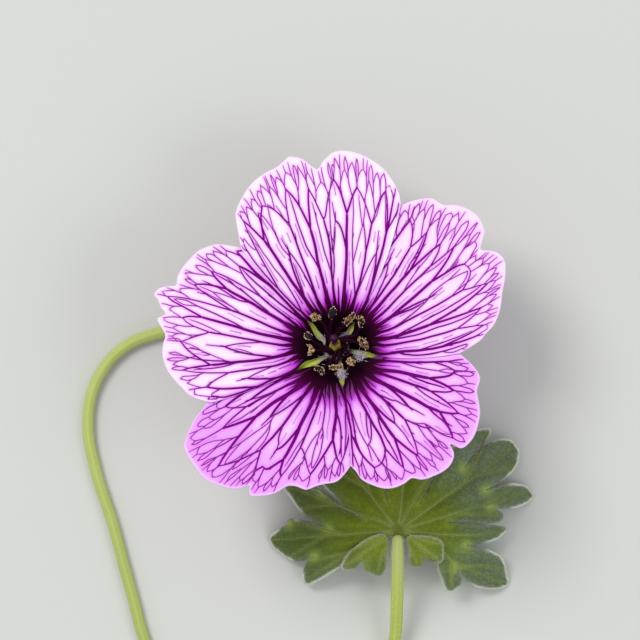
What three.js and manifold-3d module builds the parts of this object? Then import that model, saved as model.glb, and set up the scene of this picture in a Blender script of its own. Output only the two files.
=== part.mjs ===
// A picked flowering shoot of a hardy geranium (the ashy cranesbill kind), lying on a surface.
// One open five-petalled bloom and one palmate leaf, each on its own stalk, leave one node of a
// short cut stem. Millimetres, +Z up, the surface at z = 0, origin under the centre of the box.
// Plan positions are first written about the throat of the bloom and moved at the very end.
import * as THREE from 'three';
import { mergeVertices } from 'three/addons/utils/BufferGeometryUtils.js';
import Module from 'manifold-3d';

const wasm = await Module();
wasm.setup();

// ---- driving dimensions -------------------------------------------------------------------
const ORIGIN_SHIFT = [3.0516, 18.4666, 0];       // throat of the bloom, seen from the part's origin
const BLADE = 0.6;                         // thickness of petals, sepals, leaf and stipules
const THROAT_Z = 9.0;                      // height of the claws' seats above the surface
const TILT = 14.5;                         // lean of the bloom, degrees
const TILT_AZIMUTH = 106;                  // towards which the bloom looks, degrees
const BOWL_DEPTH = 7.5;                    // rise of a petal from its claw to 20 mm out
const CLAW_R = 1.45;                       // where the petals begin
const GAP_END_R = 4.1;                     // where neighbouring claws close up
const EDGE_LIFT = 0.5;                     // a petal's edge over (+) or under (-) its neighbour
const SEPAL_DROP = 1.32;                   // sepals under the petals
const STALK_R = 0.65;                      // flower stalk
const LEAF_STALK_R = 0.68;
const STEM_R = 1.0;
const NODE_R = 1.45;
const LEAF_CENTRE = [6.8, -20.1, 6.95];

const RAD = Math.PI / 180;
const V = (x, y, z) => new THREE.Vector3(x, y, z);
const clamp = (x, a, b) => Math.min(b, Math.max(a, x));
const lerp = (a, b, t) => a + (b - a) * t;
const smooth = (x, a, b) => { const t = clamp((x - a) / (b - a), 0, 1); return t * t * (3 - 2 * t); };
const polar = (deg, r) => [r * Math.cos(deg * RAD), r * Math.sin(deg * RAD)];

// Linear reading of a table of [x, y] rows, held at both ends.
function read(table, x) {
  if (x <= table[0][0]) return table[0][1];
  for (let i = 1; i < table.length; i++) {
    const [x0, y0] = table[i - 1], [x1, y1] = table[i];
    if (x <= x1) return lerp(y0, y1, (x - x0) / (x1 - x0));
  }
  return table[table.length - 1][1];
}

const shoot = new THREE.Group();

// ---- solids -------------------------------------------------------------------------------
function geometryOf(points, faces) {
  const g = new THREE.BufferGeometry();
  g.setAttribute('position', new THREE.Float32BufferAttribute(points.flatMap((p) => [p.x, p.y, p.z]), 3));
  g.setIndex(faces.flat());
  return g;
}

function place(name, geometry, colour, roughness = 0.7) {
  geometry.computeVertexNormals();
  const material = new THREE.MeshStandardMaterial({ color: colour, roughness, metalness: 0 });
  const mesh = new THREE.Mesh(geometry, material);
  mesh.name = name;
  shoot.add(mesh);
  return mesh;
}

// A thin sheet made solid: every point goes half the thickness both ways along its normal, both
// faces are split alike, and the rim, an anticlockwise loop, is walled.
function thicken(points, faces, rim, thickness) {
  const normals = points.map(() => V(0, 0, 0));
  for (const [a, b, c] of faces) {
    const n = points[b].clone().sub(points[a]).cross(points[c].clone().sub(points[a]));
    for (const k of [a, b, c]) normals[k].add(n);
  }
  normals.forEach((n) => n.normalize());
  const up = points.map((p, i) => p.clone().addScaledVector(normals[i], thickness / 2));
  const down = points.map((p, i) => p.clone().addScaledVector(normals[i], -thickness / 2));
  const n = points.length;
  const all = faces.slice();
  for (const [a, b, c] of faces) all.push([a + n, c + n, b + n]);
  for (let i = 0; i < rim.length; i++) {
    const a = rim[i], b = rim[(i + 1) % rim.length];
    all.push([a + n, b + n, b], [a + n, b, a]);
  }
  return geometryOf([...up, ...down], all);
}

// A four-sided sheet: rows run outwards, columns run anticlockwise.
function sheet(grid, thickness) {
  const rows = grid.length, cols = grid[0].length;
  const id = (i, j) => i * cols + j;
  const faces = [];
  for (let i = 0; i + 1 < rows; i++) {
    for (let j = 0; j + 1 < cols; j++) {
      faces.push([id(i, j), id(i + 1, j), id(i + 1, j + 1)], [id(i, j), id(i + 1, j + 1), id(i, j + 1)]);
    }
  }
  const rim = [];
  for (let i = 0; i < rows; i++) rim.push(id(i, 0));
  for (let j = 1; j < cols; j++) rim.push(id(rows - 1, j));
  for (let i = rows - 2; i >= 0; i--) rim.push(id(i, cols - 1));
  for (let j = cols - 2; j > 0; j--) rim.push(id(0, j));
  return thicken(grid.flat(), faces, rim, thickness);
}

// A round sheet: one centre point, then closed rings that run anticlockwise.
function disc(centre, rings, thickness) {
  const cols = rings[0].length;
  const id = (i, j) => 1 + i * cols + (j % cols);
  const faces = [];
  for (let j = 0; j < cols; j++) {
    faces.push([0, id(0, j), id(0, j + 1)]);
    for (let i = 0; i + 1 < rings.length; i++) {
      faces.push([id(i, j), id(i + 1, j), id(i + 1, j + 1)], [id(i, j), id(i + 1, j + 1), id(i, j + 1)]);
    }
  }
  const rim = Array.from({ length: cols }, (_, j) => id(rings.length - 1, j));
  return thicken([centre, ...rings.flat()], faces, rim, thickness);
}

// Rings of equal count closed by a fan at each end; a ring turns anticlockwise about the way on.
function loft(rings) {
  const sides = rings[0].length, points = rings.flat(), faces = [];
  const id = (i, j) => i * sides + (j % sides);
  for (let i = 0; i + 1 < rings.length; i++) {
    for (let j = 0; j < sides; j++) {
      faces.push([id(i, j), id(i, j + 1), id(i + 1, j + 1)], [id(i, j), id(i + 1, j + 1), id(i + 1, j)]);
    }
  }
  const mean = (ring) => ring.reduce((s, p) => s.add(p), V(0, 0, 0)).multiplyScalar(1 / sides);
  const first = points.push(mean(rings[0])) - 1;
  const last = points.push(mean(rings[rings.length - 1])) - 1;
  for (let j = 0; j < sides; j++) {
    faces.push([first, id(0, j + 1), id(0, j)], [last, id(rings.length - 1, j), id(rings.length - 1, j + 1)]);
  }
  return geometryOf(points, faces);
}

// A stalk swept along a smooth path with no twist: one flat side faces straight down, and where
// the stalk lies on the surface that side is level with it.
function stalk(path, radiusAt, sides, steps, rest = false) {
  const curve = new THREE.CatmullRomCurve3(path, false, 'centripetal');
  const flat = Math.cos(Math.PI / sides);
  const line = Array.from({ length: steps + 1 }, (_, i) => {
    const p = curve.getPointAt(i / steps);
    if (rest) p.z = Math.max(p.z, radiusAt(i / steps) * flat);
    return p;
  });
  const rings = line.map((p, i) => {
    const way = line[Math.min(i + 1, steps)].clone().sub(line[Math.max(i - 1, 0)]).normalize();
    const side = way.clone().cross(V(0, 0, 1)).normalize();
    const above = side.clone().cross(way);
    const r = radiusAt(i / steps);
    return Array.from({ length: sides }, (_, j) => {
      const a = ((j + 0.5) / sides) * 2 * Math.PI - Math.PI / 2;
      return p.clone().addScaledVector(side, -r * Math.cos(a)).addScaledVector(above, r * Math.sin(a));
    });
  });
  return loft(rings);
}

function solidOf(geometry) {
  const g = geometry.clone();
  g.deleteAttribute('normal');
  g.deleteAttribute('uv');
  const merged = mergeVertices(g, 1e-5);
  return new wasm.Manifold(new wasm.Mesh({
    numProp: 3,
    vertProperties: new Float32Array(merged.attributes.position.array),
    triVerts: new Uint32Array(merged.index.array),
  }));
}

// One body from several overlapping solids.
function joined(solids) {
  const solid = solids.reduce((sum, next) => sum.add(next));
  // the outer shell alone: a pocket that the joining seals is filled
  const mesh = solid.decompose().sort((a, b) => b.volume() - a.volume())[0].getMesh();
  const points = [];
  for (let i = 0; i < mesh.numVert; i++) {
    points.push(V(...mesh.vertProperties.subarray(i * mesh.numProp, i * mesh.numProp + 3)));
  }
  const faces = [];
  for (let i = 0; i < mesh.triVerts.length; i += 3) faces.push([...mesh.triVerts.subarray(i, i + 3)]);
  return geometryOf(points, withoutSlivers(points, faces, 0.004));
}

// Edges shorter than the limit are drawn together to one point; faces that this flattens go, and
// so do each pair of faces left back to back and any loose scrap.
function withoutSlivers(points, faces, limit) {
  const home = points.map((_, i) => i);
  const root = (i) => { while (home[i] !== i) i = home[i]; return i; };
  for (const f of faces) {
    for (let k = 0; k < 3; k++) {
      const a = root(f[k]), b = root(f[(k + 1) % 3]);
      if (a !== b && points[a].distanceTo(points[b]) < limit) home[Math.max(a, b)] = Math.min(a, b);
    }
  }
  const kept = new Map();
  for (const f of faces.map((t) => t.map(root))) {
    if (f[0] === f[1] || f[1] === f[2] || f[2] === f[0]) continue;
    const key = [...f].sort((a, b) => a - b).join();
    if (kept.has(key)) kept.delete(key); else kept.set(key, f);
  }
  let used = [...kept.values()];
  const island = points.map((_, i) => i);
  const isle = (i) => { while (island[i] !== i) i = island[i]; return i; };
  for (const [a, b, c] of used) { island[isle(a)] = isle(b); island[isle(b)] = isle(c); }
  const sizes = new Map();
  for (const f of used) sizes.set(isle(f[0]), (sizes.get(isle(f[0])) ?? 0) + 1);
  const largest = [...sizes].sort((a, b) => b[1] - a[1])[0][0];
  used = used.filter((f) => isle(f[0]) === largest);
  const order = [...new Set(used.flat())], slot = new Map(order.map((v, i) => [v, i]));
  points.splice(0, points.length, ...order.map((v) => points[v].clone()));
  return used.map((f) => f.map((v) => slot.get(v)));
}

// ---- the bloom's leaning frame ------------------------------------------------------------
const AXIS = V(Math.sin(TILT * RAD) * Math.cos(TILT_AZIMUTH * RAD),
  Math.sin(TILT * RAD) * Math.sin(TILT_AZIMUTH * RAD), Math.cos(TILT * RAD));
const EAST = V(1, 0, 0).addScaledVector(AXIS, -AXIS.x).normalize();
const NORTH = AXIS.clone().cross(EAST);

// Height of the bowl at plan (x, y): z = throat - slope of the lean + rise, where the rise is
// 0.29 D (1 - exp(-q / 3)) + 0.71 D (q / 18.55)^1.1 at q millimetres beyond the claw's seat.
function bowl(x, y) {
  const q = Math.max(Math.hypot(x, y) - CLAW_R, 0);
  const lean = Math.tan(TILT * RAD) * (x * Math.cos(TILT_AZIMUTH * RAD) + y * Math.sin(TILT_AZIMUTH * RAD));
  return THROAT_Z - lean + BOWL_DEPTH * (0.29 * (1 - Math.exp(-q / 3)) + 0.71 * (q / 18.55) ** 1.1);
}

const inBloom = (x, y, z) => V(0, 0, THROAT_Z).addScaledVector(EAST, x)
  .addScaledVector(NORTH, y).addScaledVector(AXIS, z);

// ---- petals -------------------------------------------------------------------------------
// Where two neighbours meet: [degrees at the end of the claw gap, degrees and radius at the rim].
const SEAMS = {
  upperRightTop: [54, 65.7, 17.2],
  topLeft: [139, 134, 14.9],
  leftLower: [212.6, 204, 14.8],
  lower: [279.3, 277.1, 13.0],
  rightLower: [345.5, 357.3, 13.5],
};

// rim: the visible rim in [degrees, radius], anticlockwise. start and end: its seams, and whether
// that edge lies over (+1) or under (-1) the neighbour. The rim's middle notch is in the rows.
const PETALS = {
  petal_top: { start: ['upperRightTop', 1], end: ['topLeft', 1], wave: 0.4,
    rim: [[65.7, 17.2], [68, 18.2], [71, 19.1], [75, 20.1], [78, 20.6], [82, 21.1], [86, 21.4], [89, 21.4],
      [91, 21.2], [94, 20.3], [96, 19.5], [98, 20.0], [100, 20.8], [104, 21.4], [105, 21.2], [108, 20.7],
      [112, 20.5], [117, 20.1], [123, 19.1], [127, 18.2], [129, 17.2], [134, 14.9]] },
  petal_upper_right: { start: ['rightLower', 1], end: ['upperRightTop', -1], wave: 2.1,
    rim: [[-2.7, 13.5], [0, 14.6], [3, 15.8], [5, 16.3], [8, 17.3], [13, 18.3], [18, 19.0], [23, 20.0],
      [27, 20.6], [30, 20.4], [32, 19.8], [34, 19.0], [36, 19.7], [38, 20.5], [41, 20.9], [43, 21.0],
      [47, 20.7], [50, 20.2], [53, 19.4], [57, 19.3], [59, 18.9], [63, 17.8], [65.7, 17.2]] },
  petal_lower_right: { start: ['lower', 1], end: ['rightLower', -1], wave: 3.6,
    rim: [[-82.9, 13.0], [-81, 13.6], [-79, 14.6], [-75, 15.5], [-71, 16.2], [-67, 16.5], [-63, 16.5],
      [-60, 16.4], [-57, 17.1], [-53, 17.5], [-48, 17.8], [-45, 17.7], [-42, 17.2], [-40.3, 16.2],
      [-39, 17.4], [-37, 17.7], [-33, 17.8], [-28, 17.5], [-24, 17.1], [-21, 16.6], [-17, 16.0],
      [-12, 16.0], [-8, 15.1], [-5, 14.1], [-2.7, 13.5]] },
  petal_lower_left: { start: ['leftLower', -1], end: ['lower', -1], wave: 5.0,
    rim: [[204, 14.8], [204.8, 16.0], [207, 17.3], [209, 18.1], [211, 19.0], [213, 19.7], [215, 19.9],
      [218, 20.0], [221, 20.1], [224, 20.2], [227, 20.0], [230, 19.6], [234, 19.0], [236, 18.4],
      [238, 17.7], [239, 18.3], [240, 18.6], [243, 18.1], [246, 17.5], [248, 16.9], [251, 15.9],
      [254, 15.7], [258, 15.8], [262, 15.2], [265, 14.9], [270, 14.6], [273, 14.0], [277.1, 13.0]] },
  petal_left: { start: ['topLeft', -1], end: ['leftLower', 1], wave: 0.9,
    rim: [[134, 14.9], [137, 16.3], [139, 17.1], [142, 17.8], [145, 18.3], [149, 18.6], [152, 18.8],
      [156, 18.9], [159, 18.7], [160, 19.4], [162, 20.4], [164, 20.6], [165, 20.1], [167, 19.6],
      [169, 18.9], [170, 19.3], [171, 19.7], [174, 19.0], [176, 18.6], [179, 18.8], [182, 18.9],
      [186, 18.7], [190, 18.2], [195, 17.3], [198, 16.8], [201, 15.9], [204, 14.8]] },
};

// Half the gap between two claws, in degrees, at each radius; past GAP_END_R an edge that lies
// under its neighbour runs on beneath it by UNDERLAP degrees.
const CLAW_GAP = [[CLAW_R, 13], [2.2, 12], [3.0, 9.5], [3.6, 6], [GAP_END_R, 1], [4.8, 0]];
const UNDERLAP = [[GAP_END_R, 0], [5.5, 4], [8, 6], [12, 6], [15, 4.5]];

// One side edge from the claw to the rim. turn is +1 where the petal lies anticlockwise of it.
function petalSide([seamName, over], turn) {
  const [inner, outer, rimR] = SEAMS[seamName];
  const endR = over > 0 ? rimR : rimR - 1.4;
  const line = [];
  for (let i = 0; i <= 24; i++) {
    const r = lerp(CLAW_R, endR, i / 24);
    const seam = inner + (outer - inner) * clamp((r - GAP_END_R) / (rimR - GAP_END_R), 0, 1);
    const past = over > 0 ? 0 : read(UNDERLAP, r);
    line.push(polar(seam + turn * (read(CLAW_GAP, r) - past), r));
  }
  return line;
}

// Evenly spaced points along a plan line.
function spaced(line, count) {
  const run = [0];
  for (let i = 1; i < line.length; i++) {
    run.push(run[i - 1] + Math.hypot(line[i][0] - line[i - 1][0], line[i][1] - line[i - 1][1]));
  }
  const total = run[run.length - 1];
  return Array.from({ length: count + 1 }, (_, k) => {
    const s = (total * k) / count;
    return [read(run.map((d, i) => [d, line[i][0]]), s), read(run.map((d, i) => [d, line[i][1]]), s)];
  });
}

// The plan of a petal is a Coons patch between claw, two sides and rim; the rows bunch towards
// the claw. An over or under edge is lifted or dropped, and the rim ripples by a fixed sine.
function petal(name, { rim, start, end, wave }) {
  const COLS = 24, ROWS = 8;
  const cw = petalSide(start, 1), ccw = petalSide(end, -1);
  const plan = rim.map(([a, r]) => polar(a, r));
  if (start[1] < 0) plan[0] = cw[cw.length - 1];
  if (end[1] < 0) plan[plan.length - 1] = ccw[ccw.length - 1];
  const top = spaced(plan, COLS);
  const left = cw, right = ccw;
  const along = (line, v) => [0, 1].map((k) => read(line.map((p, i) => [i / (line.length - 1), p[k]]), v));
  const grid = [];
  for (let i = 0; i <= ROWS; i++) {
    const v = (i / ROWS) ** 1.25;
    const row = [];
    for (let j = 0; j <= COLS; j++) {
      const u = j / COLS;
      const L = along(left, v), R = along(right, v);
      const base = [0, 1].map((k) => lerp(left[0][k], right[0][k], u));
      const at = [0, 1].map((k) => lerp(base[k], top[j][k], v) + lerp(L[k], R[k], u)
        - lerp(lerp(left[0][k], right[0][k], u), lerp(left[24][k], right[24][k], u), v));
      const r = Math.hypot(at[0], at[1]);
      const near = smooth(Math.abs(2 * u - 1), 0.35, 0.85) * smooth(r, 2.6, 4.6);
      const lift = EDGE_LIFT * (u < 0.5 ? start[1] : end[1]) * near;
      const ripple = 0.35 * Math.sin(9 * u + wave) * smooth(r, 11, 19) * (1 - near);
      row.push(V(at[0], at[1], bowl(at[0], at[1]) + lift + ripple));
    }
    grid.push(row);
  }
  place(name, sheet(grid, BLADE), 0xefc9f2, 0.6);
}

// ---- calyx, receptacle, pistil and stamens ------------------------------------------------
// Five pointed sepals behind the gaps between the claws, each ending in a short point.
function sepal(name, [angle]) {
  const halfWidth = [[1.35, 0.6], [2.2, 1.05], [3.2, 1.5], [4.3, 1.65], [5.6, 1.45], [7.0, 0.9], [8.0, 0.42],
    [9.0, 0.16]];
  const along = polar(angle, 1), grid = [];
  for (const [r, w] of halfWidth) {
    grid.push([-1, -0.5, 0, 0.5, 1].map((s) => {
      const x = along[0] * r - along[1] * w * s, y = along[1] * r + along[0] * w * s;
      return V(x, y, bowl(x, y) - SEPAL_DROP);
    }));
  }
  place(name, sheet(grid, BLADE), 0x9db27a, 0.75);
}

// Rings about the bloom's axis: [height, radius] rows from below; five low nectary lobes.
function turned(rows, sides, lobe = 0, lean = [0, 0]) {
  return rows.map(([z, r]) => Array.from({ length: sides }, (_, j) => {
    const a = (j / sides) * 2 * Math.PI;
    const q = r * (1 + lobe * Math.cos(5 * (a - 54 * RAD)));
    return inBloom(q * Math.cos(a) + lean[0] * z, q * Math.sin(a) + lean[1] * z, z);
  }));
}

function receptacle() {
  const rows = [[-2.35, 0.66], [-1.9, 0.8], [-1.4, 0.9], [-0.7, 0.97], [0, 1.1], [0.22, 1.0]];
  place('receptacle', loft(turned(rows, 20, 0.05)), 0x8fa35f, 0.75);
}

// Ovary, style column and the knob of still closed stigmas, one grown piece.
function pistil() {
  const rows = [[0.32, 0.42], [0.7, 0.56], [1.3, 0.55], [1.9, 0.42], [2.6, 0.3], [3.3, 0.3], [3.7, 0.5],
    [4.15, 0.58], [4.6, 0.5], [4.9, 0.25]];
  place('pistil', loft(turned(rows, 10, 0.1, [0.01, -0.02])), 0x5a2a4a, 0.6);
}

// Ten stamens: filament foot angle about the axis, anther centre in plan, height over the throat,
// and the anther's bearing. Five stand on the ring of the claws and five on that of the gaps.
const STAMENS = [
  [0.46, 2.9, 0.46, 4.0, 118], [46, 2.74, 2.88, 3.9, 80], [71, 1.57, 3.04, 4.6, 40],
  [100, -0.35, 3.79, 4.6, 95], [128, -2.2, 3.34, 4.0, 20], [160, -3.02, 1.21, 3.9, 60],
  [190, -2.85, -0.46, 4.2, 110], [236, -1.77, -2.56, 4.3, 150], [271, -0.02, -2.21, 4.7, 10],
  [316, 1.65, -1.56, 4.6, 40],
];
const FOOT_R = 0.9;

function anther(centre, bearing) {
  const long = V(Math.cos(bearing * RAD), Math.sin(bearing * RAD), 0.15).normalize();
  const side = V(0, 0, 1).cross(long).normalize(), above = long.clone().cross(side);
  const rows = [[-0.62, 0.16], [-0.42, 0.36], [0, 0.42], [0.42, 0.36], [0.62, 0.16]];
  return loft(rows.map(([s, r]) => Array.from({ length: 6 }, (_, j) => {
    const a = (j / 6) * 2 * Math.PI;
    return centre.clone().addScaledVector(long, s).addScaledVector(side, r * 1.1 * Math.cos(a))
      .addScaledVector(above, r * 0.8 * Math.sin(a));
  })));
}

function stamen(name, [, x, y, height, bearing], index) {
  const foot = (18 + 36 * index) * RAD;
  const c = Math.cos(foot) * FOOT_R, s = Math.sin(foot) * FOOT_R;
  const tip = V(x, y, THROAT_Z + height - 0.15 * y);
  const low = inBloom(c, s, 0.3), mid = inBloom(c * 1.25, s * 1.25, 1.6);
  const path = new THREE.CatmullRomCurve3([low, mid, mid.clone().lerp(tip, 0.55), tip], false, 'centripetal');
  const rings = Array.from({ length: 7 }, (_, i) => {
    const p = path.getPointAt(i / 6), way = path.getTangentAt(i / 6);
    const a1 = V(0.3, 1, 0.1).cross(way).normalize(), a2 = way.clone().cross(a1);
    const r = lerp(0.21, 0.15, i / 6);
    return Array.from({ length: 6 }, (_, j) => p.clone().addScaledVector(a1, r * Math.cos((j / 3) * Math.PI))
      .addScaledVector(a2, r * Math.sin((j / 3) * Math.PI)));
  });
  place(name, joined([solidOf(loft(rings)), solidOf(anther(tip.clone().add(V(0, 0, 0.1)), bearing))]), 0x3a2438, 0.6);
}

// ---- leaf ---------------------------------------------------------------------------------
// The blade is written about its centre, in [degrees, radius] rows. It is cut from an arched
// sheet by an upright prism of its outline.
// The outline, anticlockwise: toothed lobes between the sinuses, then the small hub at the stalk.
const LEAF_EDGE = [
  [-42, 3.6], [-40.2, 5.3], [-46.5, 6.56], [-49.8, 7.6], [-51.4, 8.5], [-49, 8.95], [-45, 9.15], [-40, 9.05], [-37, 8.7], [-34.6, 8.0], [-33.2, 7.2],
  [-34.6, 8.7], [-36.4, 9.7], [-35.8, 10.7], [-33, 11.9], [-30, 12.9], [-27, 13.5], [-25, 13.45],
  [-22.5, 13.0], [-18, 12.4], [-14.4, 11.7], [-12.4, 10.3], [-12.7, 8.8], [-12.3, 7.5],
  [-11.4, 8.4], [-10, 8.9], [-8, 9.9], [-5, 11.0], [-2, 11.6], [0.5, 12.0], [1.9, 11.7], [2.8, 10.6],
  [4.2, 8.9], [6.4, 7.4], [9.7, 5.4],
  [7.2, 7.4], [5.2, 8.9], [4.3, 10.0], [4.5, 11.1], [6, 11.6], [9, 11.6], [12, 11.0], [14, 10.3],
  [11.4, 11.7], [10.6, 13.2], [11.6, 14.5], [13.8, 15.4], [16.5, 15.2], [19, 14.9], [22, 13.7], [23.3, 12.3],
  [24.6, 10.5],
  [25.2, 12.4], [26.6, 13.9], [28.8, 15.0], [33, 15.9], [38, 15.9], [41, 15.3], [43.4, 14.2], [45, 12.3],
  [43.3, 9.6],
  [46, 12.4], [45.6, 14.4], [47.5, 15.1], [51, 14.3], [55, 12.8], [57.5, 10.5], [57, 8], [54, 5.6], [51, 3.5],
  [55, 5.8], [59.5, 8.3], [62.5, 10.9], [66, 12.9], [70, 13.3], [74, 12.4], [76.5, 9.6],
  [78.5, 12.4], [82, 14.1], [86, 14.3], [89, 12.6], [91, 9.4], [93.5, 11.9], [97, 12.8], [101, 12.2],
  [104, 10], [105.8, 7], [110, 3.1],
  [108.6, 6.5], [107.5, 9.6], [109, 11.9], [113, 12.8], [117.5, 11.6], [120, 8.9], [122.4, 12.0], [127, 13.7],
  [132, 13.2], [136, 9.2], [138.4, 11.4], [142, 12.4], [145.6, 11.6], [150, 9], [156, 6.2], [163, 3.8],
  [158.5, 6.4], [152.6, 9.4], [149, 11.6], [151.5, 12.3], [153.4, 11.0], [155, 9.1],
  [155.2, 11.2], [156.6, 13.0], [159.4, 13.4], [165, 11.8], [171, 10.4], [174.6, 8.9], [178.2, 7.5],
  [175, 9.4], [173.8, 10.8], [173.8, 11.8], [175.4, 12.2], [176.4, 11.8], [178.5, 12.7], [182.3, 13.9],
  [184.4, 14.2], [187, 14.0], [190.5, 13.3], [194, 12.6], [197, 11.8], [198.2, 10.8], [197, 9.4],
  [199.3, 10.6], [202, 11.1], [206.3, 11.6], [209.5, 11.8], [211.8, 11.5], [212.6, 10.2], [212.9, 7.4],
  [213.2, 3.0], [216, 0.95], [232, 0.9], [248, 0.9], [264, 0.9], [280, 0.9], [296, 0.95], [308, 1.5],
];

// Drop of the blade at 14 mm from its centre, by direction: an arched blade whose outer lobes hang.
const LEAF_DROP = [[-75, 9.5], [-52, 8.2], [-27, 6.9], [0, 6.1], [14, 5.7], [38, 4.2], [85, 3.0], [125, 3.2],
  [160, 4.4], [184, 6.3], [213, 7.6], [250, 9.0], [285, 9.5], [308, 8.2]];
// Directions of the main ribs, which lie in shallow grooves.
const LEAF_RIBS = [-24, -4, 16, 35, 83, 127, 158, 185, 205];

function leafHeight(x, y) {
  const r = Math.hypot(x, y);
  let deg = Math.atan2(y, x) / RAD;
  if (deg < -75) deg += 360;
  let z = -read(LEAF_DROP, deg) * (r / 14) ** 1.6;
  const groove = Math.min(...LEAF_RIBS.map((a) => Math.abs(r * Math.sin((deg - a) * RAD))
    + (Math.abs(deg - a) > 60 ? 99 : 0)));
  z += 0.22 * smooth(groove, 0.1, 1.6) * smooth(r, 1.0, 4.0);
  return z;
}

function leafPoint(deg, r, lift = 0) {
  const [x, y] = polar(deg, r);
  return V(LEAF_CENTRE[0] + x, LEAF_CENTRE[1] + y, LEAF_CENTRE[2] + leafHeight(x, y) + lift);
}

function arched(middle, radii, columns, lift) {
  const [cx, cy] = polar(...middle);
  const at = (px, py) => {
    let deg = Math.atan2(py, px) / RAD;
    if (middle[0] > 180 && deg < 0) deg += 360;
    return leafPoint(deg, Math.hypot(px, py), lift(deg, Math.hypot(px, py)));
  };
  const rings = radii.map((r) => Array.from({ length: columns }, (_, j) => {
    const [x, y] = polar((360 * j) / columns, r);
    return at(cx + x, cy + y);
  }));
  return disc(at(cx, cy), rings, BLADE);
}

function cutToOutline(geometry, edge) {
  const shape = new THREE.Shape(edge.map(([deg, r]) => new THREE.Vector2(...polar(deg, r))));
  const prism = new THREE.ExtrudeGeometry(shape, { depth: 30, bevelEnabled: false });
  prism.translate(LEAF_CENTRE[0], LEAF_CENTRE[1], -10);
  return solidOf(geometry).intersect(solidOf(prism));
}

// The two small divisions at the foot of the blade lie over the main sheet and hang beside the
// stalk: [degrees, radius] outline and the extra drop of the free side.
const BASAL_RIGHT = { middle: [-42, 3.0], reach: 3.8, droop: [[-71, -1.9], [-50, -0.9], [-38, 0], [-5, 0]],
  edge: [[-50, 1.35], [-58, 2.2], [-67, 3.1], [-70, 3.9], [-66.5, 4.3], [-61, 4.5], [-54, 4.6], [-49.5, 4.4],
    [-46, 3.9], [-43, 4.8], [-40.5, 5.5], [-37, 5.85], [-32, 5.85], [-27, 5.6], [-20, 5.3], [-13, 4.9],
    [-10, 3.8], [-12, 2.4], [-22, 1.35]] };
const BASAL_LEFT = { middle: [217, 3.6], reach: 4.6, droop: [[191, 0], [214, 0], [228, -0.6], [252, -1.9]],
  edge: [[250, 3.7], [244, 2.7], [236, 1.8], [212, 1.4], [194, 1.5], [190, 2.2], [194, 3.5], [203, 5.7],
    [208, 6.7], [212.4, 7.35], [216, 7.4], [220, 6.7], [221.2, 6.0], [220.4, 5.2], [227, 5.5], [235.6, 5.6],
    [243, 5.5], [249, 5.3], [251.5, 4.6]] };
function basalDivision({ middle, reach, droop, edge }) {
  const lift = (deg, r) => lerp(0.32, 0.94, smooth(r, 1.2, 3.0)) + read(droop, deg) * (r / 4.5) ** 1.5;
  return cutToOutline(arched(middle, [reach * 0.35, reach * 0.7, reach], 18, lift), edge);
}

function leafBlade() {
  const main = cutToOutline(arched([0, 0], [1.5, 3.4, 5.6, 8, 10.6, 13.3, 16.6], 60, () => 0), LEAF_EDGE);
  const blade = joined([main, basalDivision(BASAL_RIGHT), basalDivision(BASAL_LEFT)]);
  blade.computeBoundingBox();
  blade.translate(0, 0, -blade.boundingBox.min.z);   // its lowest lobe tip touches the surface
  place('leaf_blade', blade, 0x6f8463, 0.8);
}

// ---- stalks, stem and stipules ------------------------------------------------------------
const NODE = V(-3, -50, NODE_R * 0.93);

function flowerStalk() {
  const under = inBloom(0, 0, -2.5);
  const path = [under, inBloom(0, 0, -3.6), V(0.45, -1.55, 2.9), V(-0.9, -1.2, 1.0), V(-3.4, -0.35, 0.6),
    V(-7, 0.6, 0.6), V(-11, 1.25, 0.6), V(-16, 1.6, 0.6), V(-19.08, 1.57, 0.6), V(-20.7, 1.12, 0.6), V(-22.4, 0.45, 0.6),
    V(-23.7, -0.44, 0.6), V(-24.9, -1.6, 0.6), V(-26.7, -4.8, 0.6), V(-27.2, -9.0, 0.6), V(-26.3, -13.8, 0.6),
    V(-24.5, -19.4, 0.6), V(-23.4, -23.5, 0.6), V(-22.25, -27.7, 0.6), V(-21.1, -31.9, 0.6),
    V(-18.6, -37.4, 0.6), V(-14.2, -42.6, 0.6), V(-9, -46.4, 0.7), NODE.clone().add(V(-1.42, 0.92, -0.45))];
  place('flower_stalk', stalk(path, () => STALK_R, 10, 50, true), 0x9aae62, 0.7);
}

function leafStalk() {
  const [x, y, z] = LEAF_CENTRE;
  const path = [V(x - 0.06, y - 1.3, z - 0.15), V(x - 0.06, y - 4.0, z - 1.25), V(x - 0.1, y - 8.0, z - 3.3),
    V(x - 0.3, y - 11.8, z - 4.95), V(x - 1.2, y - 16.4, 0.95), V(x - 3.0, y - 21.6, 0.6),
    V(0.9, -46.4, 0.7), NODE.clone().add(V(1.15, 1.25, -0.4))];
  const radius = (t) => LEAF_STALK_R * (1 - 0.2 * (1 - smooth(t, 0, 0.12)));
  place('leaf_stalk', stalk(path, radius, 10, 26, true), 0xa3b466, 0.7);
}

function shootStem() {
  const radius = (t) => read([[0, STEM_R], [0.55, STEM_R], [0.72, 1.12], [0.86, NODE_R], [0.94, 1.2], [1, 0.6]], t);
  const path = [V(0, -58, STEM_R), V(-1.3, -54.5, STEM_R), V(-2.5, -51.4, 1.1), V(-3.35, -48.9, 1.3)];
  place('shoot_stem', stalk(path, radius, 12, 16, true), 0x93a65c, 0.7);
}

// Two narrow stipules clasp the node.
function stipule(name, bearing, length) {
  const out = polar(bearing, 1), grid = [];
  for (const [t, w] of [[0, 0.45], [0.25, 0.75], [0.5, 0.7], [0.75, 0.45], [1, 0.15]]) {
    const r = NODE_R + 0.25 + length * t;
    grid.push([-1, 0, 1].map((s) => V(NODE.x + out[0] * r - out[1] * w * s, NODE.y + out[1] * r + out[0] * w * s,
      1.5 - 1.1 * t + 0.12 * s * s)));
  }
  place(name, sheet(grid, BLADE), 0xa99a72, 0.8);
}

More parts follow.
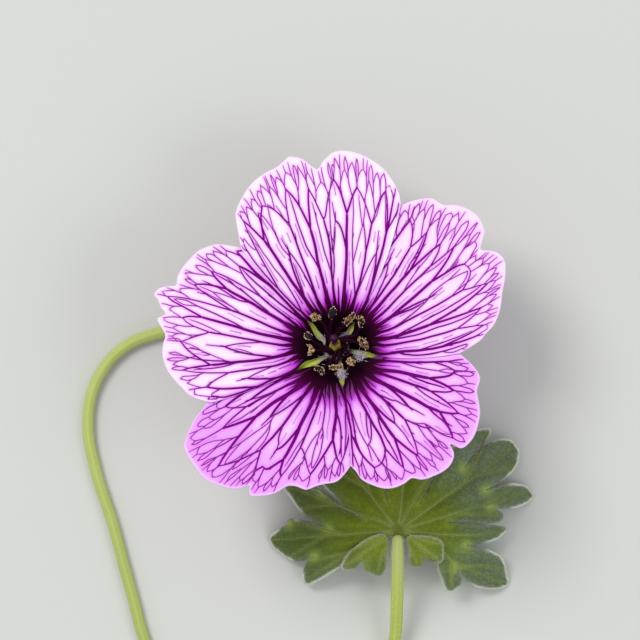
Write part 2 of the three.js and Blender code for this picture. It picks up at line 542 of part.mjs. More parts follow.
// ---- assembly -----------------------------------------------------------------------------
for (const [name, shape] of Object.entries(PETALS)) petal(name, shape);
Object.values(SEAMS).forEach((seam, i) => sepal(`sepal_${i + 1}`, seam));
receptacle();
pistil();
STAMENS.forEach((row, i) => stamen(`stamen_${i + 1}`, row, i));
flowerStalk();
leafBlade();
leafStalk();
shootStem();
stipule('stipule_1', 205, 3.6);
stipule('stipule_2', 5, 3.6);

shoot.position.set(...ORIGIN_SHIFT);

export default shoot;
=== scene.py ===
# A picked flowering shoot of a hardy geranium: one veined bloom and one cut leaf, each on its own
# stalk from a short stem, lying on a table. Plan positions are millimetres about the throat of
# the bloom, heights are millimetres over the table, and each piece is moved as it becomes a mesh.
from types import SimpleNamespace as Record

import bpy
import numpy as np
from mathutils.geometry import delaunay_2d_cdt
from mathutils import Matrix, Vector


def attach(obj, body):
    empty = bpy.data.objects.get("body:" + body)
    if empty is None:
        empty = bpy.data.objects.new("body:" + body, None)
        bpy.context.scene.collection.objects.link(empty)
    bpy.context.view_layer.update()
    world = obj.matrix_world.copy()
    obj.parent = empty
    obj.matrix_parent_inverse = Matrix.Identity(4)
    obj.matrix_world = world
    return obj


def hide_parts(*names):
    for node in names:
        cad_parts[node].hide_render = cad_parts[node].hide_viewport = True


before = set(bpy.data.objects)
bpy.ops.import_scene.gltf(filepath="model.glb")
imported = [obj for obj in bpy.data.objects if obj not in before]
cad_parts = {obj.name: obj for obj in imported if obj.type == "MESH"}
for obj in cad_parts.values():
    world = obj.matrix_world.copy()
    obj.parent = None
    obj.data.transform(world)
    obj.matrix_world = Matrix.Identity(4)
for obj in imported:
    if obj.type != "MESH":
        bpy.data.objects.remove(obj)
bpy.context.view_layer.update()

# ---- petals -------------------------------------------------------------------------------
# Five broad notched petals stand on narrow claws round the throat and overlap one another. Each
# is a thin silky blade, near white to lilac, stained dark at its foot, and netted right through
# by forking purple veins whose branches lean together into pointed arches.
THROAT = np.array([3.0516, 18.4666, 0.0])  # plan of the throat from the part's origin
THROAT_HEIGHT = 9.0
TILT, FACING = np.radians(14.5), np.radians(106.0)  # how far, and to where, the bloom leans
BOWL_DEPTH = 7.5
CLAW, CLOSED = 1.45, 4.1  # radius of the claws' feet, and where neighbouring claws close up
SIDE_POINTS, TUCKED = 25, 1.4  # points of a side, and how far short of the rim an under side stops
EDGE_LIFT, RIPPLE = 0.18, 0.35
PETAL_ROWS, PETAL_COLUMNS = 104, 128
PETAL_THICK = 0.3
STREAKS = 90  # uneven streaks side by side across the dark foot

# Where neighbours meet: degrees at the end of the claw gap, degrees and radius at the rim, then
# how much longer the claw gap is than the common one, its turn in degrees towards the throat,
# and how much wider it is.
SEAMS = {
    "upper_right_top": (54, 65.7, 17.2, 0.82, -8, 1),
    "top_left": (138, 134, 14.9, 0.98, 12, 1),
    "left_lower": (211, 204, 14.8, 1.2, 12, 0.82),
    "lower": (280.5, 277.1, 13.0, 1.06, 0, 1),
    "right_lower": (347, 357.3, 13.5, 1.1, -4, 0.8),
}
# Half the gap between claws in degrees by radius, and how far a lower edge runs on underneath.
CLAW_GAP = [[CLAW, 13], [2.2, 11.5], [3.0, 8.6], [3.6, 5.2], [CLOSED, 0.8], [4.8, 0]]
UNDERLAP = [[CLOSED, 0], [5.5, 4], [8, 6], [12, 6], [15, 4.5]]
# Start and end seams with +1 over or -1 under the neighbour, phase of the ripple, share of lilac
# near the foot and at the rim, how far the dark foot reaches on in mm, how bold the veins are, how
# many main veins, the seed of their net, and the rim itself in [degrees, radius].
PETALS = {
    "petal_top": dict(
        start=("upper_right_top", 1), end=("top_left", 1), wave=0.4, lilac=(0.0, 0.0),
        stain=-0.2, bold=0.97, mains=8, seed=3,
        rim=[[65.7, 17.2], [68, 18.2], [71, 19.1], [75, 20.1], [78, 20.6], [82, 21.1], [86, 21.4],
             [89, 21.4], [91, 21.2], [94, 20.3], [96, 19.5], [98, 20.0], [100, 20.8], [104, 21.4],
             [105, 21.2], [108, 20.7], [112, 20.5], [117, 20.1], [123, 19.1], [127, 18.2],
             [129, 17.2], [134, 14.9]]),
    "petal_upper_right": dict(
        start=("right_lower", 1), end=("upper_right_top", -1), wave=2.1, lilac=(0.18, 0.22),
        stain=0.1, bold=1.03, mains=9, seed=3,
        rim=[[-2.7, 13.5], [0, 14.6], [3, 15.8], [5, 16.3], [8, 17.3], [13, 18.3], [18, 19.0],
             [23, 20.0], [27, 20.6], [30, 20.4], [32, 19.8], [34, 19.0], [36, 19.7], [38, 20.5],
             [41, 20.9], [43, 21.0], [47, 20.7], [50, 20.2], [53, 19.4], [57, 19.3], [59, 18.9],
             [63, 17.8], [65.7, 17.2]]),
    "petal_lower_right": dict(
        start=("lower", 1), end=("right_lower", -1), wave=3.6, lilac=(0.32, 0.8),
        stain=0.75, bold=1.22, mains=8, seed=1,
        rim=[[-82.9, 13.0], [-81, 13.6], [-79, 14.6], [-75, 15.5], [-71, 16.2], [-67, 16.5],
             [-63, 16.5], [-60, 16.4], [-57, 17.1], [-53, 17.5], [-48, 17.8], [-45, 17.7],
             [-42, 17.2], [-40.3, 16.2], [-39, 17.4], [-37, 17.7], [-33, 17.8], [-28, 17.5],
             [-24, 17.1], [-21, 16.6], [-17, 16.0], [-12, 16.0], [-8, 15.1], [-5, 14.1],
             [-2.7, 13.5]]),
    "petal_lower_left": dict(
        start=("left_lower", -1), end=("lower", -1), wave=5.0, lilac=(0.42, 0.84),
        stain=0.85, bold=1.2, mains=8, seed=12,
        rim=[[204, 14.8], [204.8, 16.0], [207, 17.3], [209, 18.1], [211, 19.0], [213, 19.7],
             [215, 19.9], [218, 20.0], [221, 20.1], [224, 20.2], [227, 20.0], [230, 19.6],
             [234, 19.0], [236, 18.4], [238, 17.7], [239, 18.3], [240, 18.6], [243, 18.1],
             [246, 17.5], [248, 16.9], [251, 15.9], [254, 15.7], [258, 15.8], [262, 15.2],
             [265, 14.9], [270, 14.6], [273, 14.0], [277.1, 13.0]]),
    "petal_left": dict(
        start=("top_left", -1), end=("left_lower", 1), wave=0.9, lilac=(0.02, 0.1),
        stain=-0.3, bold=1.07, mains=9, seed=15,
        rim=[[134, 14.9], [137, 16.3], [139, 17.1], [142, 17.8], [145, 18.3], [149, 18.6],
             [152, 18.8], [156, 18.9], [159, 18.7], [160, 19.4], [162, 20.4], [164, 20.6],
             [165, 20.1], [167, 19.6], [169, 18.9], [170, 19.3], [171, 19.7], [174, 19.0],
             [176, 18.6], [179, 18.8], [182, 18.9], [186, 18.7], [190, 18.2], [195, 17.3],
             [198, 16.8], [201, 15.9], [204, 14.8]]),
}


def smooth(x, a, b):
    """0 up to a and 1 from b on, 3 t^2 - 2 t^3 between, where t is the share of the way."""
    t = np.clip((np.asarray(x, float) - a) / (b - a), 0.0, 1.0)
    return t * t * (3.0 - 2.0 * t)


def table(rows, x):
    """The straight-line reading at x of rows of [place, value]."""
    return np.interp(x, *np.array(rows, float).T)


def polar(degrees, r):
    """Plan points (r cos a, r sin a)."""
    a = np.radians(degrees)
    return np.stack([r * np.cos(a), r * np.sin(a)], -1)


def unit(vectors):
    """The vectors at length 1."""
    return vectors / np.maximum(np.linalg.norm(vectors, axis=-1, keepdims=True), 1e-9)


def spaced(line, count):
    """count points at equal steps of length along a line of straight pieces."""
    run = np.r_[0.0, np.cumsum(np.linalg.norm(np.diff(line, axis=0), axis=1))]
    at = np.linspace(0.0, run[-1], count)
    return np.stack([np.interp(at, run, line[:, k]) for k in range(line.shape[1])], -1)


def flowing(points, count):
    """A smooth line through points: on each span the cubic whose end slopes weigh the spans by
    the root of their length, then evenly spaced."""
    p = np.asarray(points, float)
    q = np.vstack([2 * p[0] - p[1], p, 2 * p[-1] - p[-2]])
    gap = np.maximum(np.linalg.norm(np.diff(q, axis=0), axis=1) ** 0.5, 1e-4)[:, None]
    before, here, after = gap[:-2], gap[1:-1], gap[2:]
    a, b, c, d = q[:-3], q[1:-2], q[2:-1], q[3:]
    leave = ((b - a) / before - (c - a) / (before + here) + (c - b) / here) * here
    arrive = ((c - b) / here - (d - b) / (here + after) + (d - c) / after) * here
    t = np.linspace(0, 1, 32, endpoint=False)[None, :, None]
    b, c, leave, arrive = (x[:, None] for x in (b, c, leave, arrive))
    fine = ((2 * t**3 - 3 * t**2 + 1) * b + (t**3 - 2 * t**2 + t) * leave
            + (3 * t**2 - 2 * t**3) * c + (t**3 - t**2) * arrive)
    return spaced(np.vstack([fine.reshape(-1, p.shape[1]), p[-1:]]), count)


def bowl(x, y):
    """Height of the bowl: throat - slope of the lean + 0.29 D (1 - exp(-q / 3))
    + 0.71 D (q / 18.55)^1.1, at q millimetres beyond the claws' feet."""
    q = np.maximum(np.hypot(x, y) - CLAW, 0.0)
    lean = np.tan(TILT) * (x * np.cos(FACING) + y * np.sin(FACING))
    return THROAT_HEIGHT - lean + BOWL_DEPTH * (0.29 * (1 - np.exp(-q / 3)) + 0.71 * (q / 18.55) ** 1.1)


def claw_side(seam, over, turn):
    """A side edge in plan: it follows the seam, turned by the skew within 3.8 mm, is drawn back
    by the claw gap, and runs on beneath the neighbour where it is the lower one."""
    inner, outer, rim, longer, skew, wide = SEAMS[seam]
    r = np.linspace(CLAW, rim if over > 0 else rim - TUCKED, SIDE_POINTS)
    angle = inner + (outer - inner) * np.clip((r - CLOSED) / (rim - CLOSED), 0, 1)
    angle = angle + skew * smooth(r, 3.8, CLAW)
    past = 0 if over > 0 else table(UNDERLAP, r / longer)
    return polar(angle + turn * (wide * table(CLAW_GAP, np.maximum(r / longer, CLAW)) - past), r)


def petal_sheet(start, end, rim, wave):
    """Middle surface of a petal over u across and v outwards: the plan blends claw, two sides and
    rim, and the height is the bowl + the lift of an over or under edge + a sine ripple."""
    first, last = claw_side(*start, 1), claw_side(*end, -1)
    plan = polar(*np.array(rim, float).T)
    plan[0] = first[-1] if start[1] < 0 else plan[0]
    plan[-1] = last[-1] if end[1] < 0 else plan[-1]
    top = flowing(plan, PETAL_COLUMNS)[None]
    u = np.linspace(0, 1, PETAL_COLUMNS)[None, :, None]
    v = np.linspace(0, 1, PETAL_ROWS)[:, None, None]
    left, right = (spaced_by_row(side)[:, None] for side in (first, last))
    foot = (1 - u) * first[0] + u * last[0]
    ends = (1 - u) * first[-1] + u * last[-1]
    xy = (1 - v) * foot + v * top + (1 - u) * left + u * right - (1 - v) * foot - v * ends
    x, y, u = xy[..., 0], xy[..., 1], u[..., 0]
    r = np.hypot(x, y)
    near = smooth(abs(2 * u - 1), 0.35, 0.85) * smooth(r, 2.6, 4.6)
    lift = EDGE_LIFT * np.where(u < 0.5, start[1], end[1]) * near
    ripple = RIPPLE * np.sin(9 * u + wave) * smooth(r, 11, 19) * (1 - near)
    return np.stack([x, y, bowl(x, y) + lift + ripple], -1)


def spaced_by_row(side):
    """A side edge read at even shares of its points, one for each row of the sheet."""
    share = np.linspace(0, 1, len(side))
    at = np.linspace(0, 1, PETAL_ROWS)
    return np.stack([np.interp(at, share, side[:, k]) for k in (0, 1)], -1)


def on_sheet(grid, u, v):
    """The grid's values at shares u and v, straight between its points."""
    rows, columns = grid.shape[:2]
    i, j = np.clip(v, 0, 0.99999) * (rows - 1), np.clip(u, 0, 0.99999) * (columns - 1)
    i0, j0 = i.astype(int), j.astype(int)
    s, t = i - i0, j - j0
    if grid.ndim > 2:
        s, t = s[..., None], t[..., None]
    return ((1 - s) * ((1 - t) * grid[i0, j0] + t * grid[i0, j0 + 1])
            + s * ((1 - t) * grid[i0 + 1, j0] + t * grid[i0 + 1, j0 + 1]))


# By share of the way out: spacing of the veins in mm, rise of an arch over its legs' feet, how
# readily neighbours join at a step, and width of a main vein in mm.
SPACING = [[0, 0.4], [0.28, 0.8], [0.42, 0.88], [0.63, 0.84], [0.8, 0.64], [0.9, 0.52], [1, 0.46]]
RISE = [[0.3, 0.26], [0.55, 0.22], [0.7, 0.14], [0.8, 0.085], [0.92, 0.045], [1, 0.03]]
JOINING = [[0.5, 0], [0.56, 0.008], [0.8, 0.015], [0.84, 0.12], [0.91, 0.2], [0.965, 0.35], [0.97, 0]]
VEIN_WIDTH = [[0, 0.7], [0.155, 0.7], [0.18, 0.56], [0.23, 0.44], [0.28, 0.36], [0.33, 0.315], [0.4, 0.29],
              [0.5, 0.28], [0.65, 0.255], [0.8, 0.215], [0.9, 0.175], [1, 0.13]]
EVEN_ROWS = 25  # rows over which the width of a petal is averaged
VEIN_STEP = 0.008  # share of the way out by which the veins grow at a time
RIM_LOOPS = 0.915  # where the free veins close in pairs
FINE_VEINS, SHORT_SPURS = 320, 22  # tries at faint veinlets, and blind spurs off the finished veins


def even_shares(middle):
    """True width of each row of a sheet, square to the way outwards and averaged over the rows
    near it, and for even shares of that width the share of the row's own columns."""
    sideways, outwards = np.gradient(middle, axis=1), np.gradient(middle, axis=0)
    widths = np.linalg.norm(np.cross(sideways, outwards), axis=2) / np.linalg.norm(outwards, axis=2)
    at = np.cumsum((widths[:, 1:] + widths[:, :-1]) / 2, axis=1)
    at = np.c_[0 * at[:, :1], at]
    runs = np.cumsum(np.pad(at, ((EVEN_ROWS // 2 + 1, EVEN_ROWS // 2), (0, 0)), "edge"), axis=0)
    at = (runs[EVEN_ROWS:] - runs[:-EVEN_ROWS]) / EVEN_ROWS
    even = np.linspace(0, 1, middle.shape[1])
    return at[:, -1], np.stack([np.interp(even, row / row[-1], even) for row in at])


def drift(rng, steps, size):
    """Slow sideways wander, nil at both ends: two sines under sin(pi t)^0.6."""
    t = np.linspace(0, 1, steps)
    waves = np.sin(2 * np.pi * t[:, None] * [0.8, 1.9] + rng.uniform(0, 6.3, 2)) @ [1.0, 0.5]
    return size * np.sin(np.pi * t) ** 0.6 * waves


def vein_net(rng, mains, breadth, length):
    """The veins of a petal as (u, v, width in mm, faintness), grown outwards step by step. Free
    veins ease apart until their spacing is even. Each main vein forks at a height of its own into
    two legs, which lean over at t^0.85 and t^4 to meet the neighbours' legs at a crown. A gap that
    grows wide is filled by a side branch or by a smaller arch of the same kind; from a crown a
    vein goes on, or blind spurs do. A vein shut in under a crown ends blind below it. Near the
    rim most of the free veins close in pairs to round loops, and few go on beyond them."""
    net, waiting, rows, closed, v = [], [], [], False, 0.01

    def vein(u, slope, ease, size):
        """A growing vein; size is its share of a main vein's width, and fork 9 is never."""
        return Record(u=[u], v=[v], slope=slope, ease=ease, size=size, limit=patience(),
                      rest=v + 0.03, end=rng.uniform(0.972, 0.99), goal=None, fork=9, sides=[])

    def patience():
        """How many times the wanted spacing a gap may grow to before it is filled."""
        return rng.uniform(1.2, 1.9) if v < 0.8 else rng.uniform(1.05, 1.4)

    def end(lane, taper=0.035):
        """Puts a finished vein into the net, thinner towards a free end."""
        front.pop(place_of(lane))
        u, at = np.array(lane.u), np.array(lane.v)
        if len(u) > 3:
            width = np.maximum(table(VEIN_WIDTH, at) * lane.size, 0.12)
            if lane.goal is None:
                width = width * (0.55 + 0.45 * smooth(at[-1] - at, 0, taper))
            net.append((u, at, width, 0.1 * (1 - smooth(lane.size, 0.3, 0.85))))

    def spur(u, v, side, far, size=0.16):
        """A short blind vein that bends to a side."""
        at = np.linspace(v, v + far, 12)
        bend = side * length / table(breadth, v) * (at - v) * (1 - 0.4 * (at - v) / far)
        net.append((u + bend, at, np.linspace(size, 0.5 * size, 12), 0.0))

    def place_of(lane):
        """The vein's number along the growing front."""
        return next(k for k, x in enumerate(front) if x is lane)

    def send_leg(parent, side, goal, shrink):
        """A leg that leaves its parent for the goal."""
        leg = vein(parent.u[-1], 0, 0, shrink * parent.size)
        leg.goal, leg.origin = goal, (leg.u[0], v, goal.early)
        front.insert(place_of(parent) + (side > 0), leg)

    def branch(left, right, side, shrink):
        """A side branch in the gap of two neighbours, from the left one where side is 1."""
        parent = left if side > 0 else right
        child = vein(parent.u[-1], parent.slope + side * 0.3 * lean, 6.0, shrink * parent.size)
        front.insert(place_of(left) + 1, child)
        return parent

    def join(pair, top, early):
        """Two neighbours lean over and meet halfway between them."""
        goal = Record(u=(pair[0].u[-1] + pair[1].u[-1]) / 2, v=top)
        for lane in pair:
            lane.goal, lane.origin = goal, (lane.u[-1], v, rng.uniform(*early))

    spread = 0.04 + 0.92 * (np.arange(mains) + rng.uniform(-0.22, 0.22, mains)) / (mains - 1)
    front = [vein(np.clip(u, 0.025, 0.975), 0.0, rng.uniform(0.8, 2.2),
                  (1.32, 0.9)[k % 2] * rng.uniform(0.9, 1.1)) for k, u in enumerate(spread)]
    forks = rng.uniform(0.5, 0.76, mains)
    tops = np.minimum(np.maximum(forks[1:], forks[:-1]) + rng.uniform(0.11, 0.2, mains - 1), 0.93)
    crowns = [Record(u=None, v=top, early=rng.uniform(0.6, 0.95)) for top in tops]
    inner = np.minimum(forks[1:], forks[:-1]) - rng.uniform(0.04, 0.26, mains - 1)
    for k, lane in enumerate(front):
        lane.fork = forks[k]
        lane.sides = [(-1, crowns[k - 1])] * (k > 0) + [(1, crown) for crown in crowns[k:k + 1]]
    trunks = list(front)
    for v in np.arange(0.01 + VEIN_STEP, 0.99, VEIN_STEP):
        wide, aim = table(breadth, v), table(SPACING, v)
        lean = length / wide
        u = np.array([lane.u[-1] for lane in front])
        gap = np.diff(np.r_[-0.5 * u[0], u, 1 + 0.5 * (1 - u[-1])])
        pull = (gap[1:] - gap[:-1]) / 2
        for lane, force in zip(front, pull):
            if lane.goal is None:
                turn = VEIN_STEP / 0.06 * (lane.ease * force - lane.slope)
                lane.slope += turn + rng.normal(0, 0.022 * lean)
                lane.u.append(float(np.clip(lane.u[-1] + lane.slope * VEIN_STEP, 0.01, 0.99)))
            else:
                u0, v0, early = lane.origin
                t = min((v - v0) / (lane.goal.v - v0), 1.0)
                lane.u.append(u0 + (lane.goal.u - u0) * (early * t**0.85 + (1 - early) * t**4))
            lane.v.append(v)
        rows.append((v, [(id(lane), lane.u[-1]) for lane in front]))
        # every gap between two main veins gets an inner vein before they fork
        for k in np.flatnonzero(v >= inner):
            inner[k] = 9
            if place_of(trunks[k + 1]) == place_of(trunks[k]) + 1:
                branch(*trunks[k:k + 2], rng.choice([-1, 1]), 0.52)
        # main veins fork towards the crowns on both sides
        for lane in [x for x in front if v >= x.fork]:
            k = next(i for i, x in enumerate(trunks) if x is lane)
            for side, crown in lane.sides:
                mate = trunks[k + side]
                if crown.u is None:
                    share = rng.uniform(0.38, 0.62)
                    crown.u = lane.u[-1] * (1 - share) + mate.u[-1] * share
                send_leg(lane, side, crown, 0.82)
            if len(lane.sides) == 2:
                end(lane, 1e-6)
            lane.fork = 9
        # legs of small arches that leave late
        for start, parent, side, goal in [w for w in waiting if v >= w[0]]:
            waiting.remove((start, parent, side, goal))
            if any(x is parent for x in front):
                send_leg(parent, side, goal, 0.64)
                parent.slope -= side * rng.uniform(0.03, 0.12) * lean
        # neighbours that run close together may lean over and join, most of all near the rim
        for pair in zip(front[:-1], front[1:]):
            loose = all(x.goal is None and x.fork > v + 0.2 and v > x.rest + 0.02 for x in pair)
            near = (pair[1].u[-1] - pair[0].u[-1]) * wide < 1.35 * aim
            if loose and near and rng.random() < table(JOINING, v):
                join(pair, min(v + 0.6 * table(RISE, v) + 0.01, 0.985), (0.4, 0.8))
        # near the rim most of the free veins close in pairs to round loops
        if not closed and v >= RIM_LOOPS:
            closed, k = True, 0
            while k < len(front) - 1:
                pair = front[k:k + 2]
                if all(x.goal is None for x in pair) and rng.random() < 0.92:
                    join(pair, rng.uniform(0.942, 0.975), (0.1, 0.45))
                    k += 1
                k += 1
        # veins shut in under a crown end blind, and legs that have met end at it
        for lane in [x for x in front if x.goal is not None]:
            goal = lane.goal
            goal.clear = getattr(goal, "clear", rng.uniform(0.03, 0.08))
            if v < goal.v - goal.clear:
                continue
            spots = [k for k, x in enumerate(front) if x.goal is goal]
            for x in front[spots[0] + 1:spots[-1]]:
                if x.goal is None:
                    end(x, 0.05)
        for lane in [x for x in front if x.goal is not None and v >= x.goal.v]:
            goal = lane.goal
            mates = [x for x in front if x.goal is goal]
            if not mates:
                continue
            spot = place_of(mates[0])
            for mate in mates:
                end(mate)
            size = min(mate.size for mate in mates)
            if v > 0.94:
                if rng.random() < 0.28:
                    front.insert(spot, vein(goal.u, 0.0, 5.0, 0.8 * size))
            elif v > 0.7 or rng.random() < 0.3:
                front.insert(spot, vein(goal.u, 0.0, 5.0, 0.95 * size))
            else:
                spur(goal.u, v, rng.uniform(-0.3, -0.1), rng.uniform(0.025, 0.05))
                spur(goal.u, v, rng.uniform(0.02, 0.2), rng.uniform(0.05, 0.13))
                if 0 < spot:
                    front[spot - 1].rest = v + 0.1
        # new branches and arches in the gaps that have grown wide
        for left, right in list(zip(front[:-1], front[1:])):
            crowd = (right.u[-1] - left.u[-1]) * wide / aim
            if v < 0.24 or v > 0.955 or crowd < left.limit or v < left.rest:
                continue
            first_fork = min(left.fork, right.fork)
            free = left.goal is None and right.goal is None and first_fork > v + 0.2
            arch = free and rng.random() < (0.55 if v < 0.5 else 0.85)
            shut = left.goal is not None and left.goal is right.goal and v > left.goal.v - 0.1
            if shut or v > 0.88 and not (free and arch):
                continue
            if arch:
                top = min(v + table(RISE, v) * rng.uniform(0.85, 1.3), 0.968, first_fork - 0.02)
                share = rng.uniform(0.35, 0.65)
                goal = Record(u=left.u[-1] + (right.u[-1] - left.u[-1]) * share, v=top,
                              early=rng.uniform(0.6, 0.95) if v < 0.5 else rng.uniform(0.45, 0.8))
                late = rng.uniform(0.0, 0.4) * (top - v) * rng.permutation([0, 1])
                waiting += [(v + late[0], left, 1, goal), (v + late[1], right, -1, goal)]
                left.rest = top + 0.01
            else:
                side = 1 if rng.random() < 0.5 else -1
                parent = branch(left, right, side, 0.58)
                parent.slope -= side * 0.1 * lean * (parent.goal is None)
                left.rest = v + 0.03
            left.limit = patience()
        for edge, side in ((front[0], -1), (front[-1], 1)):
            room = (edge.u[-1] if side < 0 else 1 - edge.u[-1]) * wide
            if 0.2 < v < 0.95 and room > 0.7 * aim and v > edge.rest:
                child = vein(edge.u[-1], side * 0.3 * lean, 7.0, 0.68 * edge.size)
                child.rest = v + 0.1
                edge.rest = v + 0.05
                front.insert(0 if side < 0 else len(front), child)
        for lane in [x for x in front if v >= x.end]:
            end(lane)
        if len(front) < 2:
            break
    for lane in list(front):
        end(lane)
    # wedges of the dark foot between the main veins, blind spurs, and faint veinlets in the gaps
    for start in (np.arange(2 * mains) + rng.uniform(0.2, 0.8, 2 * mains)) / (2 * mains):
        v = np.linspace(0.08, rng.uniform(0.2, 0.32), 24)
        net.append((start + drift(rng, 24, 0.003), v, np.linspace(0.5, 0.03, 24), 0.0))
    solid = [lane for lane in net if len(lane[0]) > 30 and lane[1][-1] > 0.5]
    for _ in range(SHORT_SPURS):
        u, v, *_ = solid[rng.integers(len(solid))]
        k = rng.integers(len(v) // 3, len(v) - 8)
        spur(u[k], v[k], rng.choice([-0.3, 0.3]), rng.uniform(0.025, 0.06), 0.14)
    taken = set()
    for _ in range(FINE_VEINS):
        start = rng.integers(24, len(rows) - 10)
        ids, u = zip(*rows[start][1])
        gap = int(np.argmax(np.diff(u) * rng.uniform(0.3, 1, len(u) - 1)))
        broad = (u[gap + 1] - u[gap]) * table(breadth, rows[start][0]) > 1.5
        share, line = (rng.choice([0.33, 0.67]) if broad else rng.uniform(0.35, 0.65)), []
        for v, row in rows[start:start + rng.integers(14, 60)]:
            keys, places = zip(*row)
            at = keys.index(ids[gap]) if ids[gap] in keys else -2
            if keys[at + 1:at + 2] != ids[gap + 1:gap + 2]:
                break
            line.append((places[at] * (1 - share) + places[at + 1] * share, v))
        eighths = range(start // 8, (start + len(line)) // 8 + 1)
        spans = {(ids[gap], broad * (share > 0.5), k) for k in eighths}
        if len(line) > 9 and not spans & taken:
            taken |= spans
            u, v = np.array(line[:-2]).T
            width = np.linspace(0.1, 0.06, len(u))
            net.append((u + drift(rng, len(u), 0.00008 * len(u)), v, width, rng.uniform(0.35, 0.75)))
    return net


OVAL = np.array([[-1, -0.6], [-0.8, -1], [0.8, -1], [1, -0.6], [1, 0.6], [0.8, 1], [-0.8, 1], [-1, 0.6]])


def thicken(points, faces, thickness):
    """A closed sheet: every point moves half the thickness both ways along its normal, and each
    open edge of the sheet gets a wall. Returns points, faces, and the source of each point."""
    count = len(points)
    corners = points[faces]
    flat = np.cross(corners[:, 1] - corners[:, 0], corners[:, 2] - corners[:, 0])
    normals = np.zeros_like(points)
    np.add.at(normals, faces, flat[:, None, :])
    move = unit(normals) * (np.asarray(thickness) / 2).reshape(-1, 1)
    a, b = faces, np.roll(faces, -1, axis=1)
    open_edge = ~np.isin(a * count + b, b * count + a)
    a, b = a[open_edge], b[open_edge]
    walls = np.stack([a + count, b + count, b, a], -1)
    every = [faces, faces[:, ::-1] + count, walls]
    return np.vstack([points + move, points - move]), every, np.tile(np.arange(count), 2)


def grid_faces(rows, columns):
    """Four-sided faces of a grid whose rows run outwards and columns anticlockwise."""
    k = np.arange(rows * columns).reshape(rows, columns)
    return np.stack([k[:-1, :-1], k[1:, :-1], k[1:, 1:], k[:-1, 1:]], -1).reshape(-1, 4)


def loft(rings):
    """Rings of equal count, anticlockwise about the way on, closed by a fan at each end."""
    steps, sides = rings.shape[:2]
    k = np.arange(steps * sides).reshape(steps, sides)
    around = np.roll(k, -1, axis=1)
    body = np.stack([k[:-1], around[:-1], around[1:], k[1:]], -1).reshape(-1, 4)
    first, last = steps * sides, steps * sides + 1
    caps = np.vstack([
        np.stack([np.full(sides, first), around[0], k[0]], -1),
        np.stack([np.full(sides, last), k[-1], around[-1]], -1)])
    points = np.vstack([rings.reshape(-1, 3), rings[0].mean(0), rings[-1].mean(0)])
    return points, [body, caps], np.r_[np.repeat(np.arange(steps), sides), 0, steps - 1]


def strip(middle, normals, half_width, half_height):
    """A vein or rib: the oval carried along a line that lies in a sheet, its width across the
    line and its height along the sheet's normal."""
    way = unit(np.gradient(middle, axis=0))
    side = unit(np.cross(normals, way))
    rings = (middle[:, None] + side[:, None] * (half_width[:, None] * OVAL[:, 0])[..., None]
             + normals[:, None] * (half_height[:, None] * OVAL[:, 1])[..., None])
    return loft(rings)


def piece(name, node, parts, materials):
    """One object from closed parts. A part is (points, faces, source), a material number and
    fields, each field one number or one number per source."""
    points, faces, numbers, fields, base = [], [], [], {}, 0
    for (p, f, source), number, values in parts:
        points.append(p)
        for group in f:
            faces += (group + base).tolist()
            numbers += [number] * len(group)
        for key, value in values.items():
            spread = np.asarray(value)[source] if np.ndim(value) else np.full(len(p), value)
            fields.setdefault(key, []).append((base, spread))
        base += len(p)
    mesh = bpy.data.meshes.new(name)
    mesh.from_pydata(((np.vstack(points) + THROAT) * 0.001).tolist(), [], faces)
    for material in materials:
        mesh.materials.append(material)
    mesh.polygons.foreach_set("material_index", np.array(numbers, np.int32))
    mesh.polygons.foreach_set("use_smooth", np.ones(len(faces), bool))
    for key, spans in fields.items():
        whole = np.zeros(base, np.float32)
        for start, values in spans:
            whole[start:start + len(values)] = values
        mesh.attributes.new(key, "FLOAT", "POINT").data.foreach_set("value", whole)
    mesh.update()
    made = bpy.data.objects.new(name, mesh)
    bpy.context.scene.collection.objects.link(made)
    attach(made, "root")
    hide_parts(node)


def colour(red, green, blue):
    """The linear colour of a display colour given in steps of 0 to 255."""
    c = np.array([red, green, blue]) / 255.0
    return (*np.where(c <= 0.04045, c / 12.92, ((c + 0.055) / 1.055) ** 2.4).tolist(), 1.0)


def fill(tree, node, values):
    """Puts values on a node's inputs, each a plain value or another node's output."""
    for key, value in values.items():
        if isinstance(value, bpy.types.NodeSocket):
            tree.links.new(value, node.inputs[key])
        else:
            node.inputs[key].default_value = value


def add(tree, kind, values=None, **settings):
    """One shader node with its own settings and its inputs' values."""
    made = tree.nodes.new(kind)
    for key, value in settings.items():
        setattr(made, key, value)
    fill(tree, made, values or {})
    return made


def reckon(tree, operation, *values):
    """A sum, product or power of values, held between 0 and 1."""
    made = add(tree, "ShaderNodeMath", dict(enumerate(values)), operation=operation, use_clamp=True)
    return made.outputs[0]


def reading(tree, name, masks):
    """The mask of that name where there is one, otherwise the mesh's own field."""
    if name in masks:
        return masks[name]
    return add(tree, "ShaderNodeAttribute", attribute_name=name).outputs["Fac"]


def tint(tree, shade, masks):
    """The colour that a shade stands for. Three numbers are a display colour, each 0 to 255.
    (field, rows) is a ramp along a field by rows of (place, red, green, blue). A list is a shade
    and the coats laid over it: (field, strength, shade), each mixed in by field x strength."""
    if isinstance(shade, list):
        under = tint(tree, shade[0], masks)
        for name, strength, coat in shade[1:]:
            share = reckon(tree, "MULTIPLY", reading(tree, name, masks), strength)
            under = add(tree, "ShaderNodeMix", {0: share, 6: under, 7: tint(tree, coat, masks)},
                        data_type="RGBA").outputs[2]
        return under
    if isinstance(shade[0], str):
        made = add(tree, "ShaderNodeValToRGB", {"Fac": reading(tree, shade[0], masks)})
        elements = made.color_ramp.elements
        while len(elements) < len(shade[1]):
            elements.new(0.5)
        for element, (place, *rgb) in zip(elements, shade[1]):
            element.position, element.color = place, colour(*rgb)
        return made.outputs["Color"]
    return colour(*shade)


